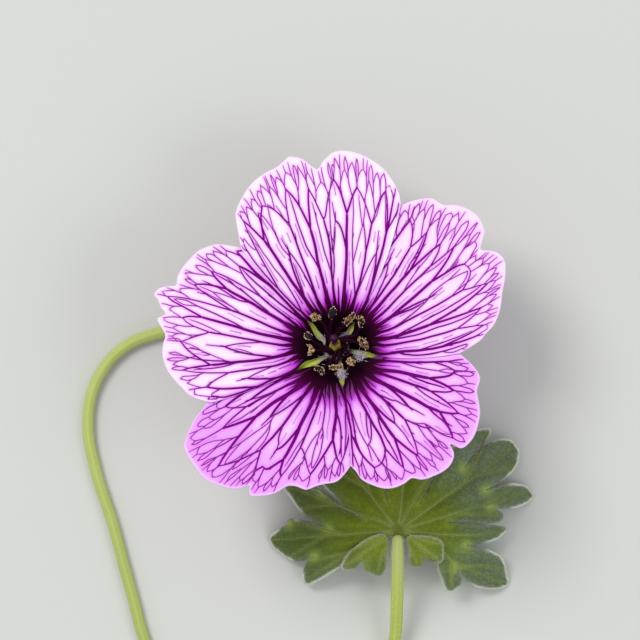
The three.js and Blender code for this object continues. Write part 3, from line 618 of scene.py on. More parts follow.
def tissue_grain():
    """A group for living plant tissue: a broad mottle and a fine cell grain, both about 0 to 1,
    from noise on object coordinates at the sizes asked for."""
    group = bpy.data.node_groups.new("tissue_grain", "ShaderNodeTree")
    for name in ("Mottle Scale", "Grain Scale"):
        group.interface.new_socket(name, in_out="INPUT", socket_type="NodeSocketFloat")
    for name in ("Mottle", "Grain"):
        group.interface.new_socket(name, in_out="OUTPUT", socket_type="NodeSocketFloat")
    given, out = add(group, "NodeGroupInput"), add(group, "NodeGroupOutput")
    place = add(group, "ShaderNodeTexCoord").outputs["Object"]
    for name, detail in (("Mottle", 2.0), ("Grain", 1.0)):
        noise = add(group, "ShaderNodeTexNoise",
                    {"Vector": place, "Scale": given.outputs[name + " Scale"], "Detail": detail})
        group.links.new(noise.outputs["Fac"], out.inputs[name])
    return group


TISSUE = tissue_grain()


def tissue(name, roughness, shade, mottle, grain, bump=0.15, depth=0.00004, more=None, **sockets):
    """A plant material, mottle and grain being the sizes of its two noises. Its skin is roughened
    by the grain, and its colour is the shade, whose coats may be laid by mottle, by grain, by a
    field of the mesh or by a mask that the function more makes."""
    made = bpy.data.materials.new(name)
    made.use_nodes = True
    tree = made.node_tree
    noise = add(tree, "ShaderNodeGroup", {"Mottle Scale": mottle, "Grain Scale": grain}, node_tree=TISSUE)
    masks = {"mottle": noise.outputs["Mottle"], "grain": noise.outputs["Grain"]}
    masks.update(more(tree, masks) if more else {})
    rise = add(tree, "ShaderNodeBump", {"Strength": bump, "Distance": depth, "Height": masks["grain"]})
    fill(tree, tree.nodes["Principled BSDF"], {
        "Roughness": roughness, "Specular IOR Level": 0.3, "Normal": rise.outputs[0],
        "Base Color": tint(tree, shade, masks),
        **{key.replace("_", " "): value for key, value in sockets.items()}})
    return made


# Stained foot to pale panel by the field reach, lilac by its field (the petal's own lilac, and
# painted shadow beside the seams), magenta beside the veins and a paler hem along the rim.
petal_blade = tissue("petal_blade", 0.6, [
    ("reach", [(0.17, 30, 1, 18), (0.215, 56, 2, 42), (0.236, 112, 14, 114), (0.252, 200, 70, 224),
               (0.272, 238, 152, 254), (0.3, 248, 196, 254), (0.36, 252, 212, 254), (0.43, 253, 230, 253),
               (0.54, 253, 241, 253)]),
    ("lilac", 1, (228, 146, 250)),
    ("mottle", 0.12, (246, 176, 249)),
    ("halo", 0.9, ("reach", [
        (0.19, 76, 0, 66), (0.225, 120, 2, 118), (0.25, 172, 16, 184), (0.29, 204, 44, 222),
        (0.33, 216, 70, 234), (0.5, 230, 104, 242), (0.9, 236, 130, 246)])),
    ("hem", 0.6, (248, 218, 250))], 300, 7000, Specular_IOR_Level=0.08)
# Near black at the foot to purple at the rim; the faint veins are a dusty lilac.
petal_vein = tissue("petal_vein", 0.6, [
    ("reach", [(0.18, 20, 0, 10), (0.25, 56, 0, 40), (0.3, 92, 0, 86), (0.4, 106, 0, 110),
               (0.6, 116, 0, 122), (0.8, 128, 0, 136), (1.0, 146, 12, 156)]),
    ("faint", 1, (222, 180, 224))], 500, 7000, Specular_IOR_Level=0.05)


def petal(name, start, end, rim, wave, lilac, stain, bold, mains, seed):
    """One petal: the blade, thinned to its edges and dished along the veins, with the fields that
    its colours read, and every vein as a strip that stands out of both faces. Its field reach is
    the distance from the throat over 20 mm, drawn in by the stain and uneven by streaks."""
    rng = np.random.default_rng(seed)
    middle = petal_sheet(start, end, rim, wave)
    normals = unit(np.cross(np.gradient(middle, axis=0), np.gradient(middle, axis=1)))
    r = np.hypot(middle[..., 0], middle[..., 1])
    u = np.linspace(0, 1, PETAL_COLUMNS)[None, :]
    v = np.linspace(0, 1, PETAL_ROWS)[:, None]
    across = np.linalg.norm(np.diff(middle, axis=1), axis=2).sum(1)
    square, columns = even_shares(middle)
    long = np.linalg.norm(np.diff(middle, axis=0), axis=2).sum(0).mean()
    from_rim = (1 - v) * long + 0 * u
    from_side = np.minimum(u, 1 - u) * across[:, None]
    thick = PETAL_THICK * (0.3 + 0.7 * smooth(np.minimum(from_rim, from_side), 0, 0.9))
    net = [(on_sheet(columns, a, b), b, width * (1 + (bold - 1) * (1 - faint)), faint)
           for a, b, width, faint in vein_net(rng, mains, np.c_[v[:, 0], square], long)]
    net = [(a, b, np.minimum(width, 2 * on_sheet(from_side, a, b) + 0.04), faint)
           for a, b, width, faint in net]
    # how strongly the veins stain the blade beside them: 1 on a vein, falling with distance
    samples = np.vstack([np.c_[on_sheet(middle, a, b)[:, :2], width * (1 - faint)]
                         for a, b, width, faint in net])
    at_foot = 1 - smooth(np.hypot(samples[:, 0], samples[:, 1]), 4.6, 7.4)
    reaches = 0.09 + 0.75 * samples[:, 2] + 0.22 * at_foot
    plan, halo = middle[..., :2].reshape(-1, 2), []
    for block in np.array_split(plan, 24):  # in blocks, to save memory
        apart = np.hypot(*(block[:, None] - samples[None, :, :2]).transpose(2, 0, 1))
        halo.append(np.exp(-((apart / reaches) ** 2)).max(1))
    halo = np.concatenate(halo)
    middle = middle - normals * (0.04 * halo.reshape(r.shape))[..., None]
    streak = np.convolve(rng.normal(0, 1, STREAKS), [0.25, 0.5, 0.25], "same")
    streak = np.interp(u * (STREAKS - 1), np.arange(STREAKS), streak)
    reach = (r - stain * smooth(r, 3, 5) * (1 - smooth(r, 8, 12)) + 0.5 * streak * smooth(r, 2.5, 5)) / 20
    blade = thicken(middle.reshape(-1, 3), grid_faces(PETAL_ROWS, PETAL_COLUMNS), thick.ravel())
    # painted shade: a side that lies beneath its neighbour is tinted more lilac beside the neighbour's edge,
    # for the coloured shadow of the petal over it
    seam_shadow_tint = 0 * r
    for over, mm in ((start[1], u * across[:, None]), (end[1], (1 - u) * across[:, None])):
        seam_shadow_tint = np.maximum(seam_shadow_tint, (over < 0) * (1 - smooth(mm, 0.9, 2.6)) * smooth(r, 4.5, 7))
    lilac = np.minimum(lilac[0] + (lilac[1] - lilac[0]) * smooth(r, 10, 16) + 0.5 * seam_shadow_tint, 0.9)
    parts = [(blade, 0, dict(reach=reach.ravel(), halo=halo, lilac=lilac.ravel(),
                             hem=(1 - smooth(from_rim, 0.05, 0.4)).ravel()))]
    for *line, faint in net:
        a, b, width = (np.r_[row[:-1:2], row[-1]] for row in line)
        on = on_sheet(middle, a, b)
        up = unit(on_sheet(normals, a, b))
        part = strip(on, up, width / 2, on_sheet(thick, a, b) / 2 + 0.012 * (1 - 0.5 * faint))
        far = np.hypot(on[:, 0], on[:, 1])
        parts.append((part, 1, dict(reach=far / 20, faint=faint * smooth(far, 6.5, 9))))
    piece("veined_" + name, name, parts, [petal_blade, petal_vein])


for petal_name, shape in PETALS.items():
    petal(petal_name, **shape)

# ---- sepals -------------------------------------------------------------------------------
# Five pointed green leaves of the calyx stand behind the gaps between the claws. They are
# leathery, pale and almost white at the foot, hairy along the back, with a stiff point. Their
# colours are painted lighter than their own, as painted light in the shade beneath the petals.
SEPAL_WIDTH = [[0.92, 0.56], [1.35, 0.84], [2.2, 1.2], [3.2, 1.5], [4.3, 1.65], [5.6, 1.45], [7.0, 0.9],
               [8.0, 0.42], [9.0, 0.16]]  # half width by distance from the axis
SEPAL_DROP, SEPAL_THICK = 0.66, 0.34
SEPAL_ROWS, SEPAL_COLUMNS, SEPAL_HAIRS = 60, 25, 420


def hairs(roots, ways, lengths, widths):
    """Three-sided spikes: a small triangle at each root, drawn out along its way to a point."""
    ways = unit(ways)
    a = unit(np.cross(ways, [0.31, 0.2, 0.93]))
    b = np.cross(ways, a)
    turn = np.arange(3) * 2 * np.pi / 3
    feet = (roots[:, None] + (a[:, None] * np.cos(turn)[:, None] + b[:, None] * np.sin(turn)[:, None])
            * np.reshape(widths, (-1, 1, 1)))
    tips = roots + ways * np.reshape(lengths, (-1, 1))
    points = np.concatenate([feet, tips[:, None]], 1)
    face = np.array([[0, 1, 3], [1, 2, 3], [2, 0, 3], [0, 2, 1]])
    faces = (np.arange(len(roots))[:, None, None] * 4 + face).reshape(-1, 3)
    return points.reshape(-1, 3), [faces], np.repeat(np.arange(len(roots)), 4)


def hair_finish(name, dark, light):
    """Fine colourless hairs: the cell walls scatter the light, so they look silvery."""
    return tissue(name, 0.45, [dark, ("mottle", 1, light)], 600, 9000, bump=0.05)


calyx_hair = hair_finish("calyx_hair", (206, 212, 190), (240, 242, 232))
tuft_wool = hair_finish("tuft_wool", (228, 204, 228), (255, 248, 255))
# painted light: these colours are lighter than the sepals' own, to make up for the shade that they lie in
# beneath the petals
sepal_leather = tissue("sepal_leather", 0.6, [
    ("along", [(0.0, 252, 248, 236), (0.1, 252, 250, 222), (0.17, 244, 248, 170), (0.26, 226, 238, 96),
               (0.42, 212, 226, 84), (0.5, 128, 150, 60), (0.9, 122, 130, 72), (1.0, 134, 92, 70)]),
    ("nerve", 0.4, (150, 168, 84)),
    ("mottle", 0.22, (120, 140, 60)),
    ("hem", 0.8, (212, 212, 176)),
    ("purple", 1, (58, 10, 44))], 500, 8000, Subsurface_Weight=0.1, Subsurface_Scale=0.0004)


def sepal(name, angle, tuft, seed):
    """Half width by the table, height the bowl's less the drop, a shallow keel along the middle
    and two side nerves. Its tuft is upright hairs about one radius of its face."""
    rng = np.random.default_rng(seed)
    place, count, turn, purple = tuft
    r = flowing(SEPAL_WIDTH, SEPAL_ROWS)
    s = np.linspace(-1, 1, SEPAL_COLUMNS)[None, :]
    out = polar(angle, 1.0)
    reach, half = r[:, :1], r[:, 1:]
    x, y = out[0] * reach - out[1] * half * s, out[1] * reach + out[0] * half * s
    nerve = np.exp(-((s / 0.07) ** 2)) + 0.7 * np.exp(-(((abs(s) - 0.45) / 0.06) ** 2))
    z = bowl(x, y) - SEPAL_DROP - 0.05 * nerve * smooth(reach, 1.6, 3)
    middle = np.stack([x, y, z], -1)
    thick = SEPAL_THICK * (0.25 + 0.75 * (1 - abs(s) ** 3)) * np.ones_like(reach)
    body = thicken(middle.reshape(-1, 3), grid_faces(SEPAL_ROWS, SEPAL_COLUMNS), thick.ravel())
    fields = dict(along=(reach - SEPAL_WIDTH[0][0]) / 8.08, nerve=nerve, hem=smooth(abs(s), 0.8, 1.0),
                  purple=purple * (1 - smooth(reach, 1.5, 2.3)))
    fields = {key: (value + 0 * x).ravel() for key, value in fields.items()}
    n = SEPAL_HAIRS
    pick_r, pick_s = rng.integers(6, SEPAL_ROWS - 2, n), rng.integers(0, SEPAL_COLUMNS, n)
    edge = rng.random(n) < 0.45
    pick_s = np.where(edge, np.where(rng.random(n) < 0.5, 0, SEPAL_COLUMNS - 1), pick_s)
    roots = middle[pick_r, pick_s] - [0, 0, 0.1]
    side = np.sign(pick_s - SEPAL_COLUMNS // 2)[:, None] * np.array([-out[1], out[0], 0]) * edge[:, None]
    ways = side + np.array([*out, -0.9]) * rng.uniform(0.3, 0.9, (n, 1)) + rng.normal(0, 0.2, (n, 3))
    fuzz = hairs(roots, ways, rng.uniform(0.2, 0.5, n), 0.014)
    spot = polar(angle + turn + rng.normal(0, 5, count), 1.0) * rng.normal(place, 0.26, (count, 1))
    feet = np.c_[spot, bowl(spot[:, 0], spot[:, 1]) - SEPAL_DROP + rng.uniform(0.1, 1.1, count)]
    up = np.c_[rng.normal(0, 1, (count, 2)), rng.uniform(0.1, 0.7, count)]
    wool = hairs(feet, up, rng.uniform(0.25, 0.6, count), 0.034)
    piece("leathery_" + name, name, [(body, 0, fields), (fuzz, 1, {}), (wool, 2, {})],
          [sepal_leather, calyx_hair, tuft_wool])


# of each sepal's tuft: distance from the axis, hairs, turn in degrees; then how purple its foot is
TUFTS = [(1.75, 30, 0, 0.2), (1.6, 40, 4, 0), (1.9, 20, 10, 0.7), (3.05, 240, 2, 1), (2.8, 260, -8, 1)]
for number, (seam, tuft) in enumerate(zip(SEAMS.values(), TUFTS), 1):
    sepal(f"sepal_{number}", seam[0], tuft, 100 + number)

# ---- receptacle ---------------------------------------------------------------------------
# The swollen end of the stalk, a low green cushion that carries every ring of the bloom. Five
# nectar glands sit on it between the stamens' feet, each under a tuft of white hairs.
AXIS = np.array([np.sin(TILT) * np.cos(FACING), np.sin(TILT) * np.sin(FACING), np.cos(TILT)])
EAST = unit(np.array([1.0, 0.0, 0.0]) - AXIS * AXIS[0])
NORTH = np.cross(AXIS, EAST)
# radius by height about the throat, the bearings of the glands, and the hairs in each tuft
CUSHION = [[-2.35, 0.66], [-1.9, 0.8], [-1.4, 0.9], [-0.7, 0.97], [0, 1.1], [0.22, 1.0], [0.3, 0.5]]
GLANDS = [54, 139, 212.6, 279.3, 345.5]
GLAND_HAIRS = 22


def in_bloom(x, y, z):
    """The point x east, y north and z up in the bloom's own leaning frame."""
    x, y, z = (np.asarray(k, float)[..., None] for k in (x, y, z))
    return np.array([0, 0, THROAT_HEIGHT]) + x * EAST + y * NORTH + z * AXIS


def turned(rows, steps, sides, lobe=0.0, lean=(0.0, 0.0)):
    """Rings about the bloom's axis: the smooth profile through the rows of [height, radius],
    times 1 + lobe cos 5(a - 54)."""
    profile = flowing(np.array(rows), steps)
    z, r = profile[:, :1], profile[:, 1:]
    a = np.arange(sides)[None, :] * 2 * np.pi / sides
    q = r * (1 + lobe * np.cos(5 * (a - np.radians(54))))
    return loft(in_bloom(q * np.cos(a) + lean[0] * z, q * np.sin(a) + lean[1] * z, z + 0 * a)), profile[:, 0]


cushion_skin = tissue("cushion_skin", 0.6, [
    ("high", [(0.0, 150, 166, 74), (0.6, 128, 140, 60), (0.85, 84, 60, 60), (1.0, 38, 10, 34)]),
    ("mottle", 0.3, (60, 40, 40))], 900, 9000)
rng = np.random.default_rng(7)
cushion, height = turned(CUSHION, 40, 60, 0.05)
count = len(GLANDS) * GLAND_HAIRS
gland = np.radians(np.repeat(GLANDS, GLAND_HAIRS) + rng.normal(0, 9, count))
start = rng.uniform(0.98, 1.12, count)
roots = in_bloom(start * np.cos(gland), start * np.sin(gland), rng.uniform(-0.5, 0.05, count))
ways = (np.c_[np.cos(gland), np.sin(gland), 0 * gland] + rng.uniform(0.3, 1.4, (count, 1)) * AXIS
        + rng.normal(0, 0.2, (count, 3)))
gland_hairs = hairs(roots, ways, rng.uniform(0.4, 0.9, count), 0.03)
piece("nectar_receptacle", "receptacle",
      [(cushion, 0, dict(high=(height + 2.35) / 2.65)), (gland_hairs, 1, {})], [cushion_skin, tuft_wool])

# ---- pistil -------------------------------------------------------------------------------
# Ovary, style and the knob of five still closed stigmas, grown as one: a yellow-green ribbed
# column that turns dark purple and downy at its top.
PISTIL = [[0.32, 0.52], [0.7, 0.64], [1.3, 0.6], [1.9, 0.44], [2.6, 0.3], [3.3, 0.28], [3.75, 0.38],
          [4.15, 0.44], [4.6, 0.38], [4.9, 0.2]]  # radius by height over the throat
pistil_skin = tissue("pistil_skin", 0.45, [
    ("high", [(0.0, 190, 190, 90), (0.2, 246, 234, 110), (0.34, 236, 206, 92), (0.44, 150, 96, 66),
              (0.6, 70, 16, 52), (0.8, 36, 2, 34), (1.0, 62, 8, 60)]),
    ("grain", 0.3, (36, 2, 36))], 900, 6000)
column, height = turned(PISTIL, 60, 50, 0.1, (0.01, -0.02))
piece("ribbed_pistil", "pistil", [(column, 0, dict(high=(height - 0.32) / 4.58))], [pistil_skin])

# ---- stamens ------------------------------------------------------------------------------
# Ten stamens in two rings: a dark purple thread, broad at the foot, and an anther that is
# blue-black while closed and a tan crumble of pollen once open.
FOOT = 0.9  # radius of the ring of their feet
THREAD_STEPS, THREAD_SIDES = 28, 12
ANTHER_STEPS, ANTHER_SIDES, CLUMPS = 34, 32, 24
# anther's plan place, height over the throat, bearing, half length, half width, share opened,
# bow of the anther, and sideways sway of the thread
STAMENS = [
    (2.98, 0.46, 4.0, 124, 0.88, 0.44, 0.8, 0.08, 0), (2.74, 2.8, 3.9, 96, 0.72, 0.3, 0.35, 0.12, 0.8),
    (1.5, 3.04, 4.6, 50, 0.9, 0.7, 0.9, 0.0, 0), (-0.35, 3.7, 4.6, 70, 0.76, 0.4, 0.12, 0.05, 0),
    (-2.2, 3.26, 4.0, 168, 0.6, 0.4, 0.9, 0.12, 0.55), (-3.02, 1.21, 3.9, 150, 0.5, 0.4, 0.2, 0.12, -0.2),
    (-2.75, -0.36, 4.2, 88, 0.66, 0.24, 0.75, 0.5, 0.1), (-1.77, -2.46, 4.3, 142, 0.7, 0.36, 0.4, 0.2, -0.25),
    (-0.02, -2.21, 4.7, 8, 0.8, 0.36, 0.85, 0.06, 0), (1.62, -1.6, 4.6, 155, 0.5, 0.36, 0.8, 0.25, 0),
]


def frames(path):
    """Along a path the way on, the level side square to it, and the way up square to both."""
    way = unit(np.gradient(path, axis=0))
    side = unit(np.cross(way, [0.02, 0.03, 1.0]))
    return way, side, np.cross(side, way)


def rod(path, radii, sides):
    """Rings round a path, each in the frame there."""
    _, side, above = frames(path)
    a = (np.arange(sides) + 0.5) * 2 * np.pi / sides - np.pi / 2
    return loft(path[:, None] + np.reshape(radii, (-1, 1, 1)) * (
        -side[:, None] * np.cos(a)[:, None] + above[:, None] * np.sin(a)[:, None]))


def grains(centres, size):
    """Eight-sided pollen grains, two points along each axis."""
    corner = np.array([[1, 0, 0], [0, 1, 0], [-1, 0, 0], [0, -1, 0], [0, 0, 1], [0, 0, -1]], float)
    face = np.array([[0, 1, 4], [1, 2, 4], [2, 3, 4], [3, 0, 4], [1, 0, 5], [2, 1, 5], [3, 2, 5], [0, 3, 5]])
    points = centres[:, None] + corner * np.reshape(size, (-1, 1, 1))
    faces = (np.arange(len(centres))[:, None, None] * 6 + face).reshape(-1, 3)
    return points.reshape(-1, 3), [faces], np.repeat(np.arange(len(centres)), 6)


stamen_thread = tissue("stamen_thread", 0.5, [
    ("high", [(0.0, 70, 18, 52), (0.3, 44, 4, 30), (1.0, 40, 2, 32)]),
    ("mottle", 0.4, (20, 0, 14))], 900, 6000, Specular_IOR_Level=0.1)
anther_wall = tissue("anther_wall", 0.4, [
    (4, 2, 10),
    ("grain", 1, (26, 18, 38)),
    ("open", 1, [(30, 16, 12), ("grain", 1, (120, 84, 46))])], 2500, 6000, bump=0.4, Specular_IOR_Level=0.12)
# Grains from umber to cream, one shade to each by the field shade.
pollen_grain = tissue("pollen_grain", 0.6, [
    ("shade", [(0.0, 74, 44, 28), (0.3, 146, 104, 58), (0.7, 200, 164, 108), (1.0, 248, 234, 204)]),
    ("mottle", 0.2, (232, 196, 120))], 3000, 8000, bump=0.3)


def stamen(number, x, y, height, bearing, half_long, half_wide, opened, bow, sway):
    """Thread: a smooth line from the foot ring up to the anther, thick at its foot. Anther: an
    egg sin(pi t)^0.55 with a groove down each face, bowed by t^2 and heaped into round clumps
    where it has opened. Crumbs of pollen are strewn over the clumps and, paler, along the slits."""
    rng = np.random.default_rng(500 + number)
    foot = np.radians(18 + 36 * number)
    c, s = np.cos(foot) * FOOT, np.sin(foot) * FOOT
    tip = np.array([x, y, THROAT_HEIGHT + height - 0.15 * y])
    low, mid = in_bloom(c, s, 0.28), in_bloom(c * 1.25, s * 1.25, 1.6)
    aside = sway * unit(np.cross(tip - low, [0, 0, 1.0]))
    path = flowing([low, mid + 0.6 * aside, mid + (tip - mid) * 0.55 + aside, tip], THREAD_STEPS)
    along = np.linspace(0, 1, THREAD_STEPS)
    thread = rod(path, table([[0, 0.3], [0.3, 0.27], [0.7, 0.17], [1, 0.09]], along), THREAD_SIDES)
    a = np.radians(bearing)
    long = unit(np.array([np.cos(a), np.sin(a), 0.12]))
    side = unit(np.cross([0, 0, 1.0], long))
    above = np.cross(long, side)
    t = np.linspace(0.02, 0.98, ANTHER_STEPS)[:, None]
    around = np.arange(ANTHER_SIDES)[None, :] * 2 * np.pi / ANTHER_SIDES
    clump_t, clump_a = rng.uniform(0, 1, CLUMPS), rng.uniform(0, 2 * np.pi, CLUMPS)
    apart = (((t[..., None] - clump_t) * half_long * 2) ** 2
             + (half_wide * 2 * np.sin((around[..., None] - clump_a) / 2)) ** 2)
    clump = np.exp(-apart / rng.uniform(0.08, 0.19, CLUMPS) ** 2).max(-1)
    hollow = (0.1 + 0.6 * opened) * (1 - clump) * smooth(t, 0, 0.1)
    fat = np.sin(np.pi * t) ** 0.55 * (1 - 0.28 * abs(np.sin(around)) ** 8) * (1 - hollow)
    run = half_long * (2 * t - 1)
    bowed = half_wide * 1.12 * fat * np.cos(around) + bow * (2 * run**2 - 0.2)
    shape = (tip + [0, 0, 0.1] + long * run[..., None] + side * bowed[..., None]
             + above * (0.4 * fat * np.sin(around))[..., None])
    bare = smooth(clump + opened - 0.7, 0.1, 0.6)
    points, faces, _ = loft(shape)
    body = (points, faces, np.arange(len(points)))
    spread = np.r_[bare.ravel(), bare[0].mean(), bare[-1].mean()]
    count = int(260 + 700 * opened)
    pick_t, pick_a = rng.integers(1, ANTHER_STEPS - 1, count), rng.integers(0, ANTHER_SIDES, count)
    pick = (bare * clump)[pick_t, pick_a] > rng.uniform(0.3, 0.95, count)
    slit = rng.random(count) < 0.1
    pick_a = np.where(slit, rng.choice([1, 2, 14], count), pick_a)
    pick |= slit
    away = unit(shape - shape.mean(1, keepdims=True))[pick_t, pick_a]
    spots = shape[pick_t, pick_a] + away * rng.uniform(-0.03, 0.05, (count, 1))
    spots = (spots + rng.normal(0, 0.03, (count, 3)))[pick]
    size = rng.uniform(0.03, 0.085, len(spots))
    shade = 0.3 * rng.random(len(spots)) + 0.7 * clump[pick_t, pick_a][pick] ** 1.5
    size[slit[pick]] *= 0.8
    shade[slit[pick]] = 0.7 + 0.3 * rng.random(slit[pick].sum())
    parts = [(thread, 0, dict(high=along)), (body, 1, dict(open=spread)),
             (grains(spots, size), 2, dict(shade=shade))]
    piece(f"pollen_stamen_{number + 1}", f"stamen_{number + 1}", parts,
          [stamen_thread, anther_wall, pollen_grain])


for number, row in enumerate(STAMENS):
    stamen(number, *row)

# ---- flower stalk -------------------------------------------------------------------------
# A slender round stalk, light green and downy. It leaves the back of the bloom, bends down to
# the table and runs in a wide loop to the node.
STALK, STALK_SIDES = 0.65, 24  # radius, and sides of every stalk
NODE = np.array([-3.0, -50.0, 1.35])
FLOWER_STALK_LINE = [
    in_bloom(0, 0, -2.3), in_bloom(0, 0, -3.6), (0.45, -1.55, 2.9), (-0.9, -1.2, 1.0), (-3.4, -0.35, 0.6),
    (-7, 0.6, 0.6), (-11, 1.25, 0.6), (-16, 1.6, 0.6), (-19.08, 1.57, 0.6), (-20.7, 1.12, 0.6),
    (-22.4, 0.45, 0.6), (-23.7, -0.44, 0.6), (-24.9, -1.6, 0.6), (-26.7, -4.8, 0.6), (-27.2, -9.0, 0.6),
    (-26.3, -13.8, 0.6), (-24.5, -19.4, 0.6), (-23.4, -23.5, 0.6), (-22.25, -27.7, 0.6), (-21.1, -31.9, 0.6),
    (-18.6, -37.4, 0.6), (-14.2, -42.6, 0.6), (-9, -46.4, 0.7), NODE + (-1.2, 0.75, -0.35)]


def down(path, radius, count, rng, length=0.3):
    """Short soft hairs all round a stalk, leaning a little back towards its foot."""
    way, side, above = frames(path)
    at = rng.integers(1, len(path) - 1, count)
    a = rng.uniform(0, 2 * np.pi, count)[:, None]
    out = side[at] * np.cos(a) + above[at] * np.sin(a)
    step = way[at] * rng.uniform(-0.5, 0.5, (count, 1)) * np.linalg.norm(path[1] - path[0])
    roots = path[at] + step + out * (np.broadcast_to(radius, len(path))[at] * 0.97)[:, None]
    ways = out + way[at] * rng.uniform(0.1, 0.7, (count, 1)) + rng.normal(0, 0.2, (count, 3))
    roots[:, 2] = np.maximum(roots[:, 2], 0.02)
    ways[:, 2] = np.where(roots[:, 2] < 0.35, abs(ways[:, 2]), ways[:, 2])
    return hairs(roots, ways, rng.uniform(0.5, 1.1, count) * length, 0.013)


def stalk_finish(name, rows, blush):
    """Green skin that changes along the stalk, lighter on its ribs, with a patchy blush."""
    return tissue(name, 0.5, [("along", rows), ("ridge", 0.35, (214, 220, 160)), ("mottle", 0.3, blush)],
                  250, 7000, Subsurface_Weight=0.15, Subsurface_Scale=0.0004)


def stalk(line, radius, steps, seed, hair_count, flat=1.0):
    """A rod along a smooth line, and its down; where it lies, its middle is flat x its radius over
    the table. Its ridge field is 1 on eight faint ribs along it. Returns the parts and the path."""
    path, share = flowing(line, steps), np.linspace(0, 1, steps)
    radii = np.broadcast_to(radius(share) if callable(radius) else radius, steps)
    path[:, 2] = np.maximum(path[:, 2], radii * flat)
    points, faces, source = rod(path, radii, STALK_SIDES)
    ribs = np.r_[np.tile(0.5 + 0.5 * np.cos(np.arange(STALK_SIDES) * 2 * np.pi / 3), steps), 0, 0]
    body = (points, faces, np.arange(len(points)))
    hair = down(path, radii, hair_count, np.random.default_rng(seed))
    return [(body, 0, dict(along=share[source], ridge=ribs)), (hair, 1, {})], path


stalk_down = hair_finish("stalk_down", (214, 220, 196), (244, 246, 236))
flower_stalk_skin = stalk_finish("flower_stalk_skin", [
    (0.0, 150, 168, 84), (0.15, 178, 194, 98), (0.4, 184, 198, 102), (0.8, 160, 176, 82),
    (1.0, 146, 150, 80)], (146, 166, 70))
parts, _ = stalk(FLOWER_STALK_LINE, STALK * 0.99, 320, 61, 4200)
piece("downy_flower_stalk", "flower_stalk", parts, [flower_stalk_skin, stalk_down])

# ---- leaf blade ---------------------------------------------------------------------------
# One soft palmate blade, cut into toothed lobes that hang down at their ends. It is olive at
# the middle and grey-green outwards under silky hairs, with a white hairy hem along every edge
# that is brightened by painted backlight and dimmed by painted shade in the narrow clefts.
LEAF_CENTRE = np.array([6.8, -20.1, 6.95])
LEAF_THICK = 0.3
RIB_STEPS = 40
HEM_HAIRS, SILK_HAIRS = 4, 1.1  # tries at a hair per point of the edge, hairs per point of the sheet
# The outline anticlockwise, in [degrees, radius]: toothed lobes between the sinuses, then the hub.
LEAF_EDGE = [
    [-42, 3.6], [-40.2, 5.3], [-46.5, 6.56], [-49.8, 7.6], [-51.4, 8.5], [-49, 8.95], [-45, 9.15],
    [-40, 9.05], [-37, 8.7], [-34.6, 8.0], [-33.2, 7.2], [-34.6, 8.7], [-36.4, 9.7], [-35.8, 10.7],
    [-33, 11.9], [-30, 12.9], [-27, 13.5], [-25, 13.45], [-22.5, 13.0], [-18, 12.4], [-14.4, 11.7],
    [-12.4, 10.3], [-12.7, 8.8], [-12.3, 7.5], [-11.4, 8.4], [-10, 8.9], [-8, 9.9], [-5, 11.0], [-2, 11.6],
    [0.5, 12.0], [1.9, 11.7], [2.8, 10.6], [4.2, 8.9], [6.4, 7.4], [9.7, 5.4], [7.2, 7.4], [5.2, 8.9],
    [4.3, 10.0], [4.5, 11.1], [6, 11.6], [9, 11.6], [12, 11.0], [14, 10.3], [11.4, 11.7], [10.6, 13.2],
    [11.6, 14.5], [13.8, 15.4], [16.5, 15.2], [19, 14.9], [22, 13.7], [23.3, 12.3], [24.6, 10.5],
    [25.2, 12.4], [26.6, 13.9], [28.8, 15.0], [33, 15.9], [38, 15.9], [41, 15.3], [43.4, 14.2], [45, 12.3],
    [43.3, 9.6], [46, 12.4], [45.6, 14.4], [47.5, 15.1], [51, 14.3], [55, 12.8], [57.5, 10.5], [57, 8],
    [54, 5.6], [51, 3.5], [55, 5.8], [59.5, 8.3], [62.5, 10.9], [66, 12.9], [70, 13.3], [74, 12.4],
    [76.5, 9.6], [78.5, 12.4], [82, 14.1], [86, 14.3], [89, 12.6], [91, 9.4], [93.5, 11.9], [97, 12.8],
    [101, 12.2], [104, 10], [105.8, 7], [110, 3.1], [108.6, 6.5], [107.5, 9.6], [109, 11.9], [113, 12.8],
    [117.5, 11.6], [120, 8.9], [122.4, 12.0], [127, 13.7], [132, 13.2], [136, 9.2], [138.4, 11.4],
    [142, 12.4], [145.6, 11.6], [150, 9], [156, 6.2], [163, 3.8], [158.5, 6.4], [152.6, 9.4], [149, 11.6],
    [151.5, 12.3], [153.4, 11.0], [155, 9.1], [155.2, 11.2], [156.6, 13.0], [159.4, 13.4], [165, 11.8],
    [171, 10.4], [174.6, 8.9], [178.2, 7.5], [175, 9.4], [173.8, 10.8], [173.8, 11.8], [175.4, 12.2],
    [176.4, 11.8], [178.5, 12.7], [182.3, 13.9], [184.4, 14.2], [187, 14.0], [190.5, 13.3], [194, 12.6],
    [197, 11.8], [198.2, 10.8], [197, 9.4], [199.3, 10.6], [202, 11.1], [206.3, 11.6], [209.5, 11.8],
    [211.8, 11.5], [212.6, 10.2], [212.9, 7.4], [213.2, 3.0], [216, 0.95], [232, 0.9], [248, 0.9],
    [264, 0.9], [280, 0.9], [296, 0.95], [308, 1.5],
]
LEAF_DROP = [[-75, 9.5], [-52, 8.2], [-27, 6.9], [0, 6.1], [14, 5.7], [38, 4.2], [85, 3.0], [125, 3.2],
             [160, 4.4], [184, 6.3], [213, 7.6], [250, 9.0], [285, 9.5], [308, 8.2]]
GROOVES = [-24, -4, 16, 35, 83, 127, 158, 185, 205]
